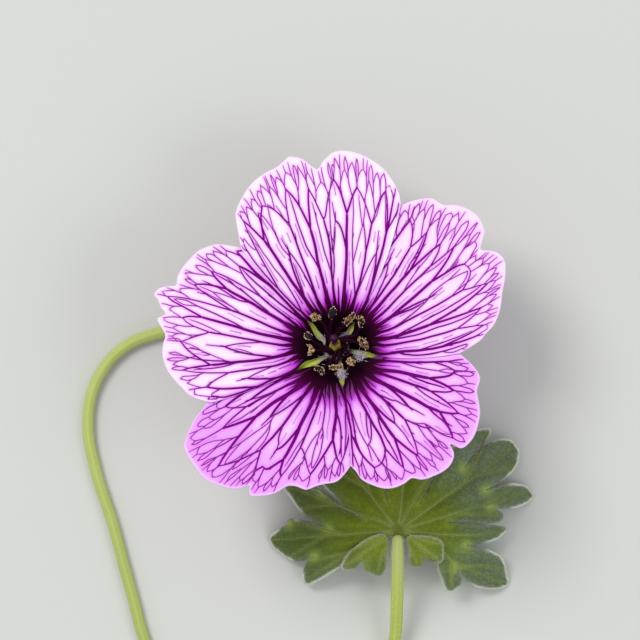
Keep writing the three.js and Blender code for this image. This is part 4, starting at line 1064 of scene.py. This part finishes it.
# The two small divisions at the foot: outline, and the extra drop of the free side by direction.
BASAL = [
    dict(droop=[[-71, -1.9], [-50, -0.9], [-38, 0], [-5, 0]],
         edge=[[-50, 1.35], [-58, 2.2], [-67, 3.1], [-70, 3.9], [-66.5, 4.3], [-61, 4.5], [-54, 4.6],
               [-49.5, 4.4], [-46, 3.9], [-43, 4.8], [-40.5, 5.5], [-37, 5.85], [-32, 5.85], [-27, 5.6],
               [-20, 5.3], [-13, 4.9], [-10, 3.8], [-12, 2.4], [-22, 1.35]],
         ribs=[[[-30, 0.9], [-34, 3.0], [-35, 5.2]], [[-40, 1.2], [-55, 2.8], [-60, 4.0]],
               [[-24, 1.4], [-20, 3.0], [-18, 4.6]]]),
    dict(droop=[[191, 0], [214, 0], [228, -0.6], [252, -1.9]],
         edge=[[250, 3.7], [244, 2.7], [236, 1.8], [212, 1.4], [194, 1.5], [190, 2.2], [194, 3.5], [203, 5.7],
               [208, 6.7], [212.4, 7.35], [216, 7.4], [220, 6.7], [221.2, 6.0], [220.4, 5.2], [227, 5.5],
               [235.6, 5.6], [243, 5.5], [249, 5.3], [251.5, 4.6]],
         ribs=[[[216, 0.9], [212, 3.4], [214, 6.8]], [[222, 1.2], [236, 3.2], [243, 4.9]],
               [[210, 1.6], [200, 3.4], [203, 4.8]]]),
]
# Ribs in [degrees, radius]: one to the end of each lobe, and side ribs to the teeth.
LEAF_RIBS = [
    [[-15, 0.8], [-22, 4.6], [-29.5, 6.8], [-27, 13.0]], [[-29.5, 6.8], [-40, 7.6], [-47, 8.6]],
    [[-28, 8.2], [-23, 10], [-20, 12.0]], [[-4, 0.8], [-5, 5], [-3, 9], [-0.5, 11.6]],
    [[16, 0.8], [17, 7], [16, 11], [16.5, 14.9]], [[15.5, 6.5], [11, 9], [8.5, 11.3]],
    [[17, 10], [19.5, 12], [21, 13.6]], [[35, 0.8], [36, 7], [35, 11], [36, 15.6]],
    [[36, 8.6], [42, 11.5], [47.5, 14.6]],
    [[35, 10.5], [31, 12.6], [29, 14.4]], [[83, 0.8], [84, 7], [84, 13.9]], [[83, 5], [75, 9], [70.5, 12.9]],
    [[84, 5.5], [92, 9], [97, 12.3]], [[66, 0.8], [62, 5], [60, 7.6]],
    [[127, 0.8], [128, 7], [128, 13.2]], [[127, 5], [117, 9], [113, 12.4]],
    [[128, 6], [137, 9.5], [142, 11.9]], [[158, 3.9], [157, 8], [158.5, 12.9]],
    [[147, 0.8], [153, 2.6], [158, 3.9]],
    [[157, 7], [152.6, 9.6], [151.4, 11.9]], [[157.6, 7.4], [163, 9], [167, 10.6]],
    [[185, 0.8], [184, 7], [184.5, 13.8]],
    [[184, 6], [178, 8.6], [175.4, 11.6]], [[184.4, 8], [191, 10.4], [194, 12.2]],
    [[205, 0.8], [206, 6], [208.5, 11.3]], [[205.6, 5], [201, 8], [200, 10.5]],
]


def from_hub(x, y):
    """Distance from the hub, and the direction in degrees from -75 to 285 as in the tables."""
    deg = np.degrees(np.arctan2(y, x))
    return np.hypot(x, y), np.where(deg < -75, deg + 360, deg)


def leaf_height(x, y):
    """-drop (r / 14)^1.6 by direction, raised 0.22 mm between the grooves of the main ribs."""
    r, deg = from_hub(x, y)
    away = [abs(r * np.sin(np.radians(deg - a))) + 99 * (abs(deg - a) > 60) for a in GROOVES]
    quilt = 0.22 * smooth(np.min(away, 0), 0.1, 1.6) * smooth(r, 1, 4)
    return -table(LEAF_DROP, deg) * (r / 14) ** 1.6 + quilt


def basal_lift(x, y, droop):
    """A small division rides over the main sheet by 0.32 to 0.94 mm, less its own droop."""
    r, deg = from_hub(x, y)
    return 0.32 + 0.62 * smooth(r, 1.2, 3.0) + table(droop, deg) * (r / 4.5) ** 1.5


def closed_flow(points, step, give):
    """A closed line through points, given in degrees and radius: it leaves the straight polygon
    for the smooth one by the share give, and has about one point a step."""
    points = polar(*np.array(points, float).T)
    around = np.vstack([points[-2:], points, points[:3]])
    ring = flowing(around, 40 * len(around))
    turns = np.r_[points, points[:1]]
    base = spaced(turns, int(np.linalg.norm(np.diff(turns, axis=0), axis=1).sum() / step))[:-1]
    near = np.array([ring[np.hypot(*(ring - b).T).argmin()] for b in base])
    return base + give * (near - base)


def nearest_to(points, line):
    """For each point its distance in plan to the nearest of a line of close points, and the
    number of that one."""
    found = []
    for block in np.array_split(points, max(1, len(points) // 400)):  # in blocks, to save memory
        apart = np.hypot(*(block[:, None] - line[None]).transpose(2, 0, 1))
        found.append((apart.min(1), apart.argmin(1)))
    return [np.concatenate(rows) for rows in zip(*found)]


def inside(points, edge):
    """True where a ray towards +X crosses the closed edge an odd number of times."""
    a, b = edge, np.roll(edge, -1, axis=0)
    x, y = points[:, :1], points[:, 1:]
    spans = (a[:, 1] > y) != (b[:, 1] > y)
    climb = np.where(b[:, 1] == a[:, 1], 1e-9, b[:, 1] - a[:, 1])
    cross = a[:, 0] + (y - a[:, 1]) * (b[:, 0] - a[:, 0]) / climb
    return (spans & (x < cross)).sum(1) % 2 == 1


def leaf_sheet(edge, height, rng, step=0.3):
    """A filled outline: points strewn on a staggered grid inside it, joined to triangles, each
    lifted to the height function. Returns points, triangles and each point's distance from the
    edge."""
    low, high = edge.min(0), edge.max(0)
    across, up = np.meshgrid(np.arange(low[0], high[0], step), np.arange(low[1], high[1], step * 0.87))
    across = across + step / 2 * (np.arange(len(across)) % 2)[:, None]
    spots = np.stack([across.ravel(), up.ravel()], -1) + rng.normal(0, 0.03 * step, (across.size, 2))
    spots = spots[inside(spots, edge)]
    spots = spots[nearest_to(spots, edge)[0] > 0.14]
    loop = [(k, (k + 1) % len(edge)) for k in range(len(edge))]
    made = delaunay_2d_cdt(np.vstack([edge, spots]).tolist(), loop, [], 1, 1e-5)
    plan = np.array([tuple(p) for p in made[0]])
    faces = np.array(made[2])
    a, b, c = (plan[faces[:, k]] for k in range(3))
    turn = (b[:, 0] - a[:, 0]) * (c[:, 1] - a[:, 1]) - (b[:, 1] - a[:, 1]) * (c[:, 0] - a[:, 0])
    faces = np.where(turn[:, None] < 0, faces[:, ::-1], faces)
    return np.c_[plan, height(plan[:, 0], plan[:, 1])], faces, nearest_to(plan, edge)[0]


def edge_ways(edge):
    """The way along an anticlockwise outline at each point, and the way straight out of it."""
    ahead = unit(np.roll(edge, -1, axis=0) - np.roll(edge, 1, axis=0))
    return ahead, np.c_[ahead[:, 1], -ahead[:, 0]]


def openness(edge):
    """How free each point of an outline lies, from the width of the cleft it looks across: the
    nearest point before it, or the nearest at all that is close by but far along the outline."""
    to = edge[None] - edge[:, None]
    apart = np.hypot(*to.transpose(2, 0, 1))
    facing = (to * edge_ways(edge)[1][:, None]).sum(2) > 0.8 * apart
    path = np.cumsum(np.hypot(*(edge - np.roll(edge, 1, axis=0)).T))
    along = np.abs(path - path[:, None])
    across = (np.minimum(along, path[-1] - along) > 1.2) & (apart < 0.4)
    width = np.where((facing | across) & (apart > 0), apart, 9).min(1)
    width = np.min([np.roll(width, by) for by in range(-5, 6)], axis=0)
    return smooth(width, 0.15, 0.6)


def leaf_part(edge, height, ribs, rng, rib_size):
    """Blade, raised ribs, hairy hem and silky hairs of one sheet of the leaf. The blade rises by
    0.2 mm between its ribs, and its field out is the distance from the hub over 16 mm."""
    free = openness(edge)
    rib_lines = [flowing(polar(*np.array(rib, float).T), RIB_STEPS) for rib in ribs]
    points, faces, hem = leaf_sheet(edge, height, rng)
    from_rib, _ = nearest_to(points[:, :2], np.vstack(rib_lines))
    # painted shade: the blade is darkened in a broad band along the flanks of each rib
    rib, painted_rib_shade = np.exp(-((from_rib / 0.2) ** 2)), np.exp(-((from_rib / 0.75) ** 2))
    points[:, 2] += LEAF_CENTRE[2] + 0.2 * smooth(from_rib, 0.08, 1.0) * smooth(hem, 0.1, 0.8)
    points[:, :2] += LEAF_CENTRE[:2]
    plan = points[:, :2] - LEAF_CENTRE[:2]
    r = np.hypot(*plan.T)
    deg = np.degrees(np.arctan2(plan[:, 1], plan[:, 0])) % 360
    # light green spots at the ends of the clefts, where the outline comes nearest to the hub
    far = np.hypot(*edge.T)
    clefts = edge[(far < np.roll(far, 3)) & (far < np.roll(far, -3)) & (far > 2.6)]
    spot = np.exp(-((nearest_to(plan, clefts)[0] / 0.55) ** 2)) * (0.4 + 0.6 * smooth(r, 6, 7.5))
    # grey down: outwards on the right, beside the edge, and on the lower lobes
    grey = smooth(r, 4.5, 12) * (0.12 + 0.88 * smooth(np.cos(np.radians(deg - 5)), -0.7, 0.5))
    grey = grey + 0.25 * (1 - smooth(hem, 0.1, 1.3)) * smooth(r, 5, 8)
    grey = grey + 0.35 * smooth(-np.sin(np.radians(deg)), 0.2, 0.7) * smooth(r, 2.5, 7)
    # the hem: the whitish colour of its hairs with painted backlight on it, brightest outwards, and painted
    # shade that takes it almost away where the edge runs close beside another lobe
    hem_and_painted_light = (1 - smooth(hem, 0.03, 0.26)) * (0.35 + 0.65 * smooth(r, 5, 10))
    hem_and_painted_light = hem_and_painted_light * (0.1 + 0.9 * free[nearest_to(plan, edge)[1]])
    sheet = thicken(points, faces, LEAF_THICK * (0.4 + 0.6 * smooth(hem, 0, 0.5)))
    parts = [(sheet, 0, dict(out=r / 16, rib=rib * (1 - 0.5 * smooth(r, 6, 11)), painted_rib_shade=painted_rib_shade,
                             hem=hem_and_painted_light, spot=spot, grey=grey))]

    def up_at(xy):
        """The sheet's upward normal, from the height 0.2 mm to each side."""
        dx = (height(xy[:, 0] + 0.2, xy[:, 1]) - height(xy[:, 0] - 0.2, xy[:, 1])) / 0.4
        dy = (height(xy[:, 0], xy[:, 1] + 0.2) - height(xy[:, 0], xy[:, 1] - 0.2)) / 0.4
        return unit(np.stack([-dx, -dy, np.ones_like(dx)], -1))

    def on_leaf(xy):
        """Plan points lifted to the sheet, in their place on the table."""
        return np.c_[xy, height(xy[:, 0], xy[:, 1])] + LEAF_CENTRE

    for line in rib_lines:
        length = np.linalg.norm(np.diff(line, axis=0), axis=1).sum()
        width = rib_size * min(1.0, length / 9) * np.linspace(1, 0.35, RIB_STEPS)
        r = np.hypot(*line.T)
        parts.append((strip(on_leaf(line), up_at(line), width, 0.5 * LEAF_THICK + 0.035 + 0 * width), 0,
                      dict(out=r / 16, rib=0.8 - 0.45 * smooth(r, 6, 11), grey=0.4)))
    # the hem's hairs stand out from the edge, the others lie outwards along the blade
    ahead, outward = edge_ways(edge)
    pick = rng.integers(0, len(edge), len(edge) * HEM_HAIRS)
    chance = (0.2 + 0.8 * smooth(np.hypot(*edge[pick].T), 5, 10)) * (0.1 + 0.9 * free[pick])
    pick = pick[rng.random(len(pick)) < chance]
    base = edge[pick] + rng.uniform(-0.08, 0.08, (len(pick), 2))
    ways = outward[pick] + ahead[pick] * rng.normal(0, 0.5, (len(pick), 1))
    ways = np.c_[ways, rng.normal(0.1, 0.4, len(pick))]
    parts.append((hairs(on_leaf(base), ways, rng.uniform(0.12, 0.3, len(pick)), 0.02), 1, {}))
    count = int(len(points) * SILK_HAIRS)
    spots = points[rng.integers(0, len(points), count), :2] - LEAF_CENTRE[:2]
    spots = spots + rng.uniform(-0.15, 0.15, (count, 2))
    up = up_at(spots)
    ways = np.c_[unit(spots), np.zeros(count)] + 0.7 * up + rng.normal(0, 0.35, (count, 3))
    roots = on_leaf(spots) + up * LEAF_THICK * 0.4
    parts.append((hairs(roots, ways, rng.uniform(0.16, 0.34, count), 0.0105), 1, {}))
    return parts


def leaf_masks(tree, masks):
    """Silver is the grain cubed where the leaf is grey; cells is 0.35 on the walls of fine cells
    and falls to nothing at 0.14 of a cell from them."""
    grey = reckon(tree, "MULTIPLY", reading(tree, "grey", masks), 2.0)
    place = add(tree, "ShaderNodeTexCoord").outputs["Object"]
    wall = add(tree, "ShaderNodeTexVoronoi", {"Scale": 1500.0, "Vector": place}, feature="DISTANCE_TO_EDGE")
    return dict(silver=reckon(tree, "MULTIPLY", reckon(tree, "POWER", masks["grain"], 3.0), grey),
                cells=reckon(tree, "MULTIPLY_ADD", wall.outputs["Distance"], -2.5, 0.35))


leaf_hair = hair_finish("leaf_hair", (196, 206, 180), (244, 248, 236))
leaf_skin = tissue("leaf_skin", 0.62, [
    ("out", [(0.0, 124, 130, 50), (0.04, 126, 142, 40), (0.18, 142, 164, 24), (0.36, 122, 146, 16),
             (0.6, 88, 112, 14), (1.0, 78, 102, 16)]),
    ("grey", 1, (111, 127, 95)),
    ("silver", 1, (170, 182, 162)),
    ("cells", 1, (52, 70, 22)),
    ("mottle", 0.4, (58, 76, 16)),
    # painted shade along the flanks of the ribs
    ("painted_rib_shade", 0.45, (66, 80, 18)),
    ("rib", 0.7, (148, 166, 72)),
    ("spot", 0.7, (156, 182, 44)),
    # the hem's whitish hairs with painted backlight, and painted shade in the narrow clefts
    ("hem", 1, (240, 245, 232))],
    350, 5200, bump=0.5, depth=0.00006, more=leaf_masks, Sheen_Weight=0.08, Specular_IOR_Level=0.2)
rng = np.random.default_rng(9)
leaf_parts = leaf_part(closed_flow(LEAF_EDGE, 0.22, 0.5), leaf_height, LEAF_RIBS, rng, 0.11)
for division in BASAL:
    def division_height(x, y, droop=division["droop"]):
        """The main sheet's height and the division's lift over it."""
        return leaf_height(x, y) + basal_lift(x, y, droop)
    division_edge = closed_flow(division["edge"], 0.2, 0.8)
    area = np.cross(division_edge, np.roll(division_edge, -1, axis=0)).sum()
    division_edge = division_edge if area > 0 else division_edge[::-1]
    leaf_parts += leaf_part(division_edge, division_height, division["ribs"], rng, 0.08)
lowest = min(part[0][:, 2].min() for part, number, _ in leaf_parts if number == 0)
for part, _, _ in leaf_parts:
    part[0][:, 2] = np.maximum(part[0][:, 2] - lowest, 0.0)
piece("silky_leaf_blade", "leaf_blade", leaf_parts, [leaf_skin, leaf_hair])

# ---- leaf stalk ---------------------------------------------------------------------------
# Rises from the node to the middle of the blade. It is whitish with down below the blade and
# yellow-green further on.
LEAF_STALK = 0.68  # radius
lx, ly, lz = LEAF_CENTRE
LEAF_STALK_LINE = [
    (lx - 0.06, ly - 0.5, lz + 0.02), (lx - 0.06, ly - 1.3, lz - 0.15), (lx - 0.06, ly - 4.0, lz - 1.25),
    (lx - 0.1, ly - 8.0, lz - 3.3), (lx - 0.3, ly - 11.8, lz - 4.95), (lx - 1.2, ly - 16.4, 0.95),
    (lx - 3.0, ly - 21.6, 0.6), (0.9, -46.4, 0.7), NODE + (1.0, 1.05, -0.35)]
leaf_stalk_skin = stalk_finish("leaf_stalk_skin", [
    (0.0, 182, 190, 108), (0.08, 188, 198, 112), (0.2, 182, 196, 80), (0.55, 164, 180, 58),
    (1.0, 150, 162, 62)], (162, 182, 60))


def leaf_stalk_radius(share):
    """Slimmer towards the blade, and drawn in to a point where it enters it."""
    return LEAF_STALK * (0.84 + 0.16 * smooth(share, 0, 0.06)) * (0.3 + 0.7 * smooth(share, -0.006, 0.014))


parts, _ = stalk(LEAF_STALK_LINE, leaf_stalk_radius, 150, 62, 3200)
piece("downy_leaf_stalk", "leaf_stalk", parts, [leaf_stalk_skin, stalk_down])

# ---- shoot stem ---------------------------------------------------------------------------
# A short length of the stem, cut clean at one end and swollen at the node that both stalks
# leave. The cut shows pale pith inside a green ring.
STEM_LINE = [(0, -58, 1.0), (-1.3, -54.5, 1.0), (-2.5, -51.4, 1.1), (-3.35, -48.9, 1.3)]
STEM_WIDTH = [[0, 1.0], [0.55, 1.0], [0.72, 1.12], [0.86, 1.45], [0.94, 1.2], [1, 0.6]]  # radius
PITH_SIDES = 40
stem_skin = stalk_finish("stem_skin", [
    (0.0, 150, 164, 84), (0.5, 140, 156, 70), (0.78, 136, 128, 66), (0.9, 150, 110, 76),
    (1.0, 150, 160, 84)], (150, 108, 76))
# Wet cut tissue: pale pith by distance from the middle, green towards the skin.
cut_pith = tissue("cut_pith", 0.35, [
    ("along", [(0.0, 222, 224, 186), (0.6, 206, 212, 156), (0.78, 150, 172, 92), (1.0, 132, 152, 70)]),
    ("grain", 0.3, (188, 196, 130))], 1200, 6000, bump=0.4)
parts, stem_path = stalk(STEM_LINE, lambda share: table(STEM_WIDTH, share), 60, 63, 900, 0.985)
# the cut face: rings from the skin to the middle, just proud of the stem's end
way = unit(stem_path[0] - stem_path[1])
side = unit(np.cross(way, [0, 0, 1.0]))
above = np.cross(side, way)
turn = np.arange(PITH_SIDES) * 2 * np.pi / PITH_SIDES
ring = (side[None] * np.cos(turn)[:, None] + above[None] * np.sin(turn)[:, None]) * 0.97
shares = np.array([0.97, 1.0, 1.0, 0.99, 0.8, 0.6, 0.4, 0.2])
depth = np.array([-0.06, -0.04, 0.0, 0.02, 0.025, 0.03, 0.03, 0.03])
cut = loft(stem_path[0] + ring[None] * shares[:, None, None] + way * depth[:, None, None])
parts.insert(1, (cut, 2, dict(along=shares)))
piece("cut_shoot_stem", "shoot_stem", parts, [stem_skin, stalk_down, cut_pith])

# ---- stipules -----------------------------------------------------------------------------
# Two narrow papery scales that sheath the node, dry and straw brown, with a darker midrib.
STIPULE_LENGTH, STIPULE_THICK = 3.6, 0.22
STIPULE_WIDTH = [[0, 0.45], [0.25, 0.75], [0.5, 0.7], [0.75, 0.45], [1, 0.12]]  # half width by share
STIPULE_ROWS, STIPULE_COLUMNS, STIPULE_HAIRS = 40, 15, 90
NODE_RADIUS = 1.45
stipule_paper = tissue("stipule_paper", 0.75, [
    ("along", [(0.0, 168, 160, 96), (0.5, 186, 160, 112), (1.0, 150, 112, 78)]),
    ("nerve", 0.5, (122, 92, 60)),
    ("mottle", 0.4, (206, 186, 146))], 700, 5000, bump=0.4)


def stipule(name, bearing, seed):
    """Half width by the table; it slopes from 1.5 to 0.4 mm over the table, its sides curled up
    by 0.12 s^2, with a fringe of hairs along both sides."""
    rng = np.random.default_rng(seed)
    profile = flowing(STIPULE_WIDTH, STIPULE_ROWS)
    t, half = profile[:, :1], profile[:, 1:]
    s = np.linspace(-1, 1, STIPULE_COLUMNS)[None, :]
    out = polar(bearing, 1.0)
    r = NODE_RADIUS + 0.12 + STIPULE_LENGTH * t
    x, y = NODE[0] + out[0] * r - out[1] * half * s, NODE[1] + out[1] * r + out[0] * half * s
    z = 1.5 - 1.1 * t + 0.12 * s * s + 0.03 * np.sin(14 * t + 3 * s)
    nerve = np.exp(-((s / 0.12) ** 2)) * np.ones_like(t)
    middle = np.stack([x, y, z], -1)
    body = thicken(middle.reshape(-1, 3), grid_faces(STIPULE_ROWS, STIPULE_COLUMNS), STIPULE_THICK)
    n = STIPULE_HAIRS
    pick = rng.integers(2, STIPULE_ROWS - 1, n)
    roots = middle[pick, np.where(rng.random(n) < 0.5, 0, STIPULE_COLUMNS - 1)]
    centre = NODE + np.array([*(out * (NODE_RADIUS + STIPULE_LENGTH / 2)), 0])
    ways = roots - centre + rng.normal(0, 0.3, (n, 3))
    ways[:, 2] = abs(ways[:, 2]) * 0.3
    parts = [(body, 0, dict(along=(t * np.ones_like(s)).ravel(), nerve=nerve.ravel())),
             (hairs(roots, ways, rng.uniform(0.2, 0.4, n), 0.012), 1, {})]
    piece("papery_" + name, name, parts, [stipule_paper, stalk_down])


stipule("stipule_1", 205, 71)
stipule("stipule_2", 5, 72)

# ---- table, light and camera --------------------------------------------------------------
# A plain pale table, one large soft light high on the left, a weaker one on the right and an
# even pale surround. The camera is far off with a long lens and looks straight down.
TABLE_SIDE = 6.0
VIEW_CENTRE = (0.00131, 0.02141)
VIEW_WIDTH = 0.06976
CAMERA_HEIGHT = 1.4
SENSOR = 36.0

table_mesh = bpy.data.meshes.new("table_top")
h = TABLE_SIDE / 2
table_mesh.from_pydata([(-h, -h, 0), (h, -h, 0), (h, h, 0), (-h, h, 0)], [], [(0, 1, 2, 3)])
table_top = bpy.data.objects.new("table_top", table_mesh)
bpy.context.scene.collection.objects.link(table_top)
table_paint = tissue("table_paint", 0.8, [(206, 208, 202), ("mottle", 1, (214, 216, 210))],
                     6, 900, bump=0.03)
table_mesh.materials.append(table_paint)


def lamp(name, place, target, size, power, hue):
    """A round soft light at a place, turned to its target."""
    light = bpy.data.lights.new(name, "AREA")
    light.shape, light.size, light.energy, light.color = "DISK", size, power, hue
    made = bpy.data.objects.new(name, light)
    made.location = place
    made.rotation_euler = (Vector(target) - Vector(place)).to_track_quat("-Z", "Y").to_euler()
    bpy.context.scene.collection.objects.link(made)
    return made


key = lamp("key_light", (-0.45, 0.5, 0.9), (0, 0.01, 0), 0.5, 6.0, (1.0, 0.985, 0.96))
fill = lamp("fill_light", (0.7, -0.3, 0.8), (0, 0, 0), 0.6, 2.1, (0.95, 0.97, 1.0))

world = bpy.data.worlds.new("pale_surround")
world.use_nodes = True
world.node_tree.nodes["Background"].inputs["Color"].default_value = (0.95, 0.97, 1.0, 1.0)
world.node_tree.nodes["Background"].inputs["Strength"].default_value = 0.62
bpy.context.scene.world = world
bpy.context.scene.view_settings.view_transform = "Standard"

camera = bpy.data.cameras.new("long_lens")
camera.sensor_width = SENSOR
camera.lens = SENSOR * (CAMERA_HEIGHT - 0.012) / VIEW_WIDTH
camera.clip_start, camera.clip_end = 0.05, 20.0
viewer = bpy.data.objects.new("long_lens", camera)
viewer.location = (*VIEW_CENTRE, CAMERA_HEIGHT)
bpy.context.scene.collection.objects.link(viewer)
bpy.context.scene.camera = viewer
